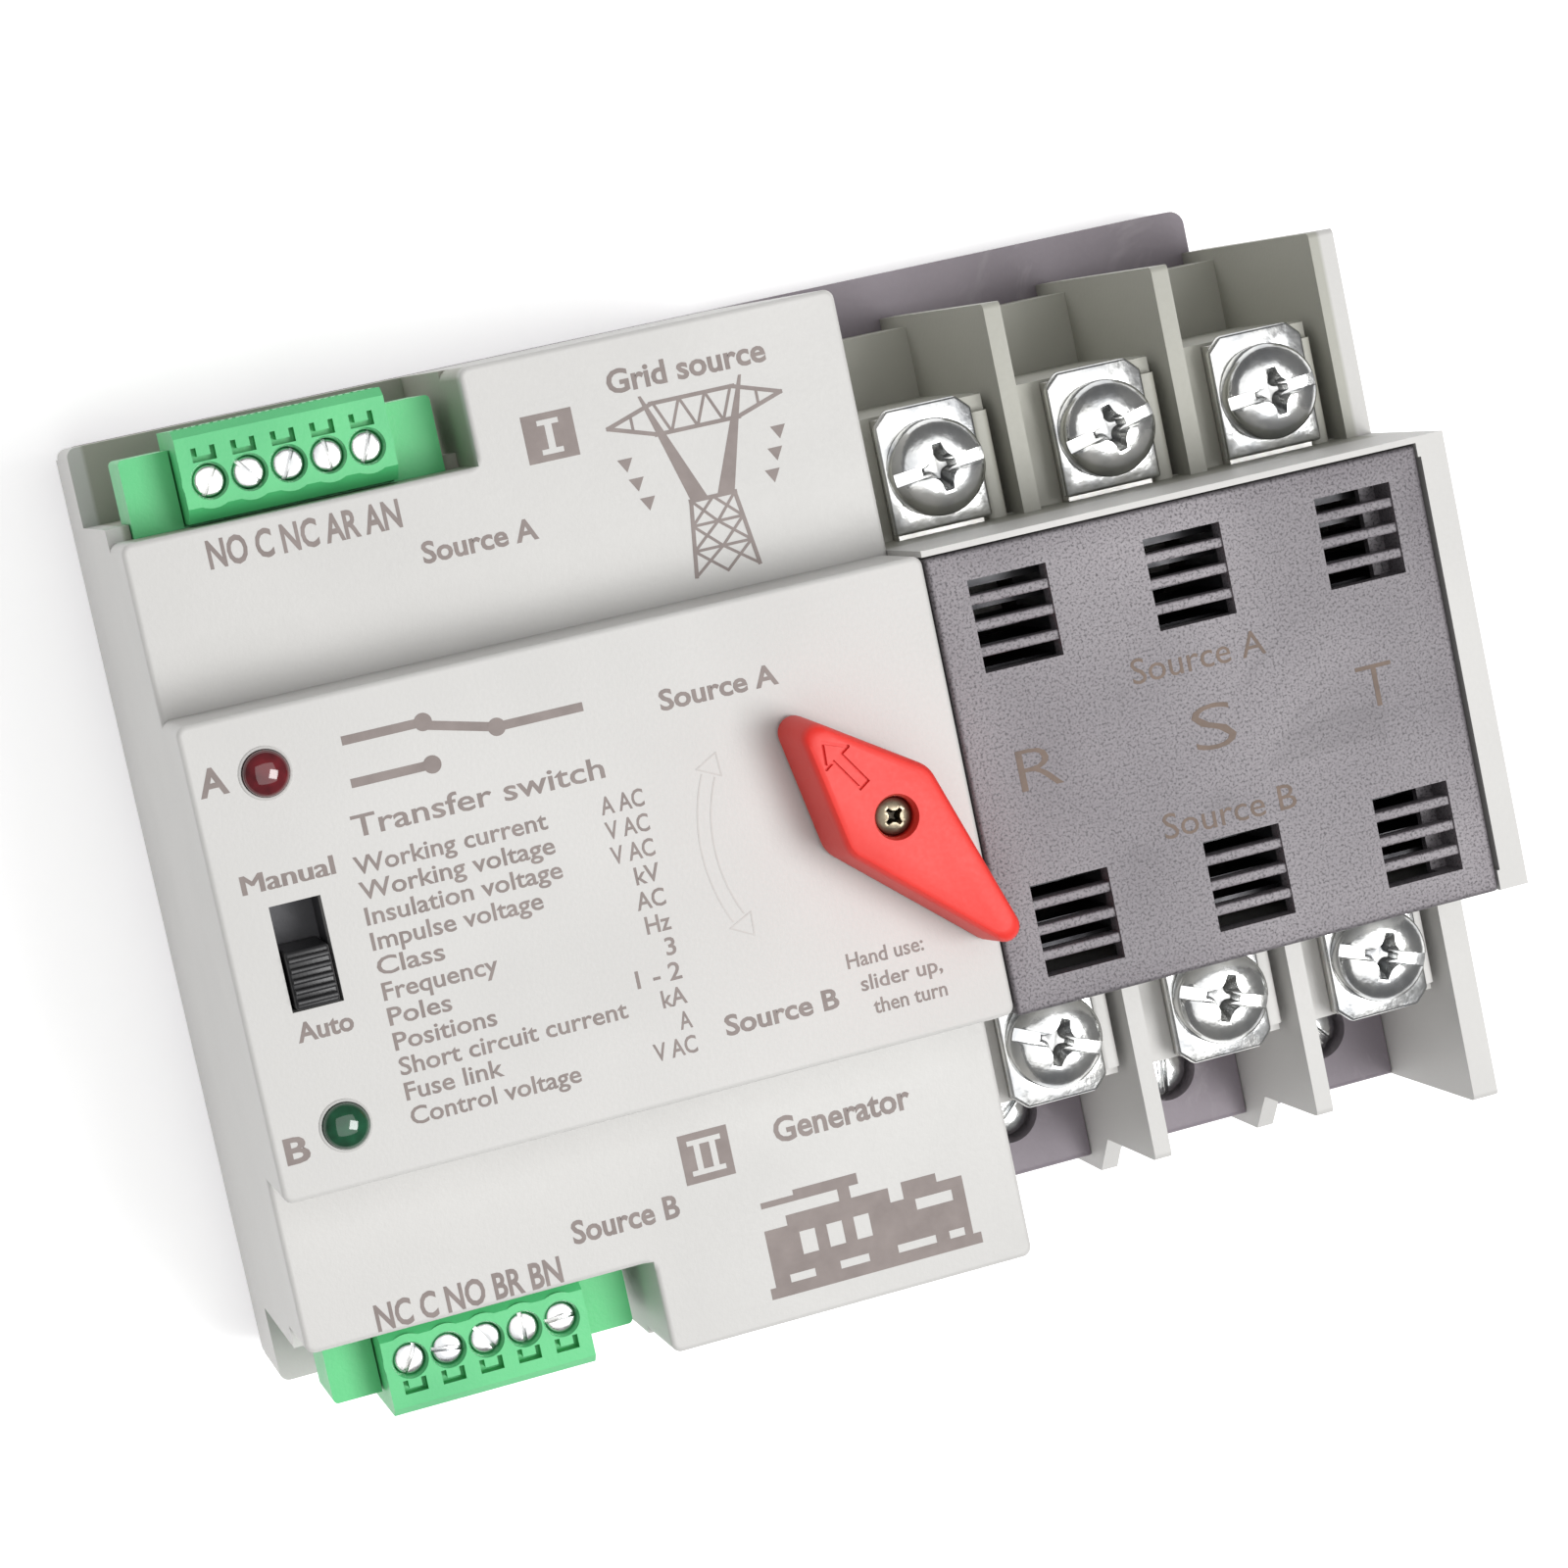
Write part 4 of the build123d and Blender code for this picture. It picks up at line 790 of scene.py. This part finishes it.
lines += [stroke(cx - 4.2, y, cx + 4.2, y, line, level) for y in (armLow, armHigh)]
lines.append(stroke(cx - 2.3, tower["waist"], cx + 2.3, tower["waist"], line, level))
for n in range(6):
    ends = (armLow, armHigh) if n % 2 else (armHigh, armLow)
    lines.append(stroke(cx - 3.9 + n * 1.3, ends[0], cx - 2.6 + n * 1.3, ends[1], brace, level))
tall = (tower["waist"] - tower["foot"]) / tower["rows"]
for n in range(tower["rows"]):
    y0, y1 = tower["foot"] + n * tall, tower["foot"] + (n + 1) * tall
    taper = tower["waistHalf"] - tower["footHalf"]
    w0, w1 = (tower["footHalf"] + taper * k / tower["rows"] for k in (n, n + 1))
    for s in (1, -1):
        lines.append(stroke(cx, y0, cx + s * w1, y1, brace, level))
        lines.append(stroke(cx + s * w0, y0, cx, y1, brace, level))
    lines.append(stroke(cx - w1, y1, cx + w1, y1, brace, level))
drawings = [merged(lines)]
# the insulator strings beside it
for s in (1, -1):
    for n in range(3):
        top, out = 36.9 - n * 2.0, cx + s * (7.7 - n * 0.7)
        corners = [(out - 0.75, top), (out, top - 1.3), (out + 0.75, top)]
        drawings.append(prism("mark", corners, level + inkLow, level + inkHigh))

# an engine and alternator on a skid, seen from the side, with its openings left clear
corners = [(-18.0, -46.0), (4.0, -46.0), (4.0, -44.9), (3.2, -44.9), (3.2, -38.9), (0.6, -38.9), (0.6, -38.0),
           (-3.0, -38.0), (-3.0, -39.7), (-4.4, -39.7), (-4.4, -38.2), (-8.2, -38.2), (-8.2, -37.0),
           (-7.2, -37.0), (-7.2, -35.9), (-13.8, -35.9), (-13.8, -36.4), (-17.2, -36.4), (-17.2, -37.0),
           (-9.4, -37.0), (-9.4, -38.2), (-15.0, -38.2), (-15.0, -39.2), (-17.4, -39.2), (-17.4, -44.9),
           (-18.0, -44.9)]
genset = prism("genset", corners, shoulder + inkLow, shoulder + inkHigh)
clear = [(-14.0, -12.4, -42.4, -40.1), (-11.2, -9.6, -42.4, -40.1), (-8.4, -6.8, -42.4, -40.1),
         (-1.9, 1.9, -41.1, -40.0), (-15.8, -13.2, -44.8, -44.0), (-10.6, -7.6, -44.8, -44.0),
         (-4.6, -0.6, -44.8, -44.0), (0.8, 2.4, -44.8, -44.0)]
carve(genset, [block("cutter", (x0, x1), (y0, y1), (shoulder - 1, shoulder + 1)) for x0, x1, y0, y1 in clear])
drawings.append(genset)

# the plate: each quantity and its width, its unit and that one's width
plate = {"left": -50.1, "right": -22.3, "top": 5.6, "pitch": 2.38, "cap": 1.66, "weight": 0.014}
ratings = (("Working current", 18.4, "A AC", 4.2), ("Working voltage", 18.6, "V AC", 4.2),
           ("Insulation voltage", 18.8, "V AC", 4.2), ("Impulse voltage", 16.4, "kV", 2.4),
           ("Class", 6.4, "AC", 2.8),
           ("Frequency", 11.0, "Hz", 2.4), ("Poles", 6.0, "3", 1.0), ("Positions", 9.8, "1 - 2", 4.4),
           ("Short circuit current", 22.0, "kA", 2.4), ("Fuse link", 9.4, "A", 1.2),
           ("Control voltage", 16.4, "V AC", 4.2))
for n, (quantity, wide, unit, narrow) in enumerate(ratings):
    y = plate["top"] - n * plate["pitch"]
    printed += [words(quantity, plate["left"], plate["left"] + wide, y, plate["cap"], front, plate["weight"]),
                words(unit, plate["right"] - narrow, plate["right"], y, plate["cap"], front, plate["weight"])]
printed.append(words("Transfer switch", -49.5, -25.4, 9.0, 2.0, front, 0.012))
hint = (("Hand use:", -6.5, 1.2), ("slider up,", -5.6, 2.6), ("then turn", -4.8, 2.6))
for n, (line, x0, x1) in enumerate(hint):
    printed.append(words(line, x0, x1, -14.2 - n * 2.4, 1.45, front, plate["weight"]))

# a changeover contact, as a plain circuit symbol
y, line = 15.9, 0.85
symbol = [stroke(-48.4, level, -41.0, level, line, front) for level in (y + 2.0, y - 2.0)]
blade = stroke(-34.4, y, -41.2, y + 1.75, line, front)
symbol.append(merged([stroke(-34.4, y, -26.4, y, line, front), blade]))
low, high = front + inkLow, front + inkHigh + 0.01
for x, level in ((-41.0, y + 2.0), (-41.0, y - 2.0), (-34.4, y)):
    symbol.append(moved(lathe("dot", [(0, low), (line, low), (line, high), (0, high)], 24), x, level))
drawings += symbol


# how far the handle turns, as a thin curved arrow
def arc(radius, start, stop, thick, level):
    corners = []
    for edge in (radius - thick / 2, radius + thick / 2):
        side = [(handleX + edge * math.cos(math.radians(a)), edge * math.sin(math.radians(a)))
                for a in [start + (stop - start) * n / 24 for n in range(25)]]
        corners += side if not corners else side[::-1]
    return prism("arc", corners, level + inkLow, level + inkHigh)


sweep = [arc(15.6, 155, 205, 0.16, front), arc(16.9, 155, 205, 0.16, front)]
for angle, way in ((154, -1), (206, 1)):
    ends = [(radius, math.radians(angle + ahead * way))
            for radius, ahead in ((15.0, 0), (16.2, 7), (17.5, 0))]
    ends = [(handleX + radius * math.cos(a), radius * math.sin(a)) for radius, a in ends]
    sweep.append(merged(outline(ends, 0.16, front)))
onCover = [words("Source A", 27.0, 40.9, 5.65, 2.5, front, 0.0),
           words("R", 13.9, 18.2, -1.9, 4.2, front, -0.012), words("S", 32.0, 36.3, -2.3, 4.6, front, -0.012),
           words("T", 49.5, 53.3, -2.1, 4.4, front, -0.012),
           words("Source B", 27.1, 41.0, -9.7, 2.5, front, 0.0)]
place(joined("printing", printed + drawings), "printing", "housing", "housing_grey", "printBrown")
place(joined("numerals", numerals), "numerals", "housing", "housing_grey", "housingGrey")
place(joined("sweepArrow", sweep), "sweepArrow", "housing", "housing_grey", "printFaint")
place(joined("coverPrinting", onCover), "coverPrinting", "housing", "cover_dark", "printTan")
print("printing made")


# camera, floor and light
view = {"spot": (-0.10147, 0.05225, 0.43310), "right": (0.943189, -0.206198, 0.260534),
        "up": (0.230768, 0.970686, -0.067188), "back": (-0.239042, 0.123494, 0.963124), "lens": 94.73}
camera = bpy.data.objects.new("camera", bpy.data.cameras.new("camera"))
bpy.context.scene.collection.objects.link(camera)
turn = Matrix((view["right"], view["up"], view["back"])).transposed().to_4x4()
camera.matrix_world = Matrix.Translation(view["spot"]) @ turn
camera.data.lens = view["lens"]
camera.data.clip_start = 0.01
bpy.context.scene.camera = camera

floorMesh = bmesh.new()
bmesh.ops.create_grid(floorMesh, x_segments=1, y_segments=1, size=3.0)
floorData = bpy.data.meshes.new("floor")
floorMesh.to_mesh(floorData)
floorMesh.free()
floor = bpy.data.objects.new("floor", floorData)
bpy.context.scene.collection.objects.link(floor)
floorFinish = Finish("floorWhite")
paper = floorFinish.noise(4.0, 2.0)
floorData.materials.append(floorFinish.set(
    Base_Color=floorFinish.blend(paper, (0.93, 0.93, 0.93), (0.95, 0.95, 0.95)), Roughness=0.8,
    Emission_Color=(1.0, 1.0, 1.0), Emission_Strength=0.45))

lamps = {"key": {"spot": (0.34, -0.14, 0.95), "size": 0.42, "power": 5.6},
         "top": {"spot": (0.0, -0.05, 1.1), "size": 1.2, "power": 6.4}}
for name, lamp in lamps.items():
    light = bpy.data.objects.new(name, bpy.data.lights.new(name, "AREA"))
    light.data.size = lamp["size"]
    light.data.energy = lamp["power"]
    light.location = lamp["spot"]
    light.rotation_euler = Vector(lamp["spot"]).to_track_quat("Z", "Y").to_euler()
    bpy.context.scene.collection.objects.link(light)
world = bpy.data.worlds.new("studio")
world.use_nodes = True
world.node_tree.nodes["Background"].inputs["Color"].default_value = (1, 1, 1, 1)
world.node_tree.nodes["Background"].inputs["Strength"].default_value = 0.2
bpy.context.scene.world = world
bpy.context.scene.view_settings.view_transform = "Standard"

print("view and light set")
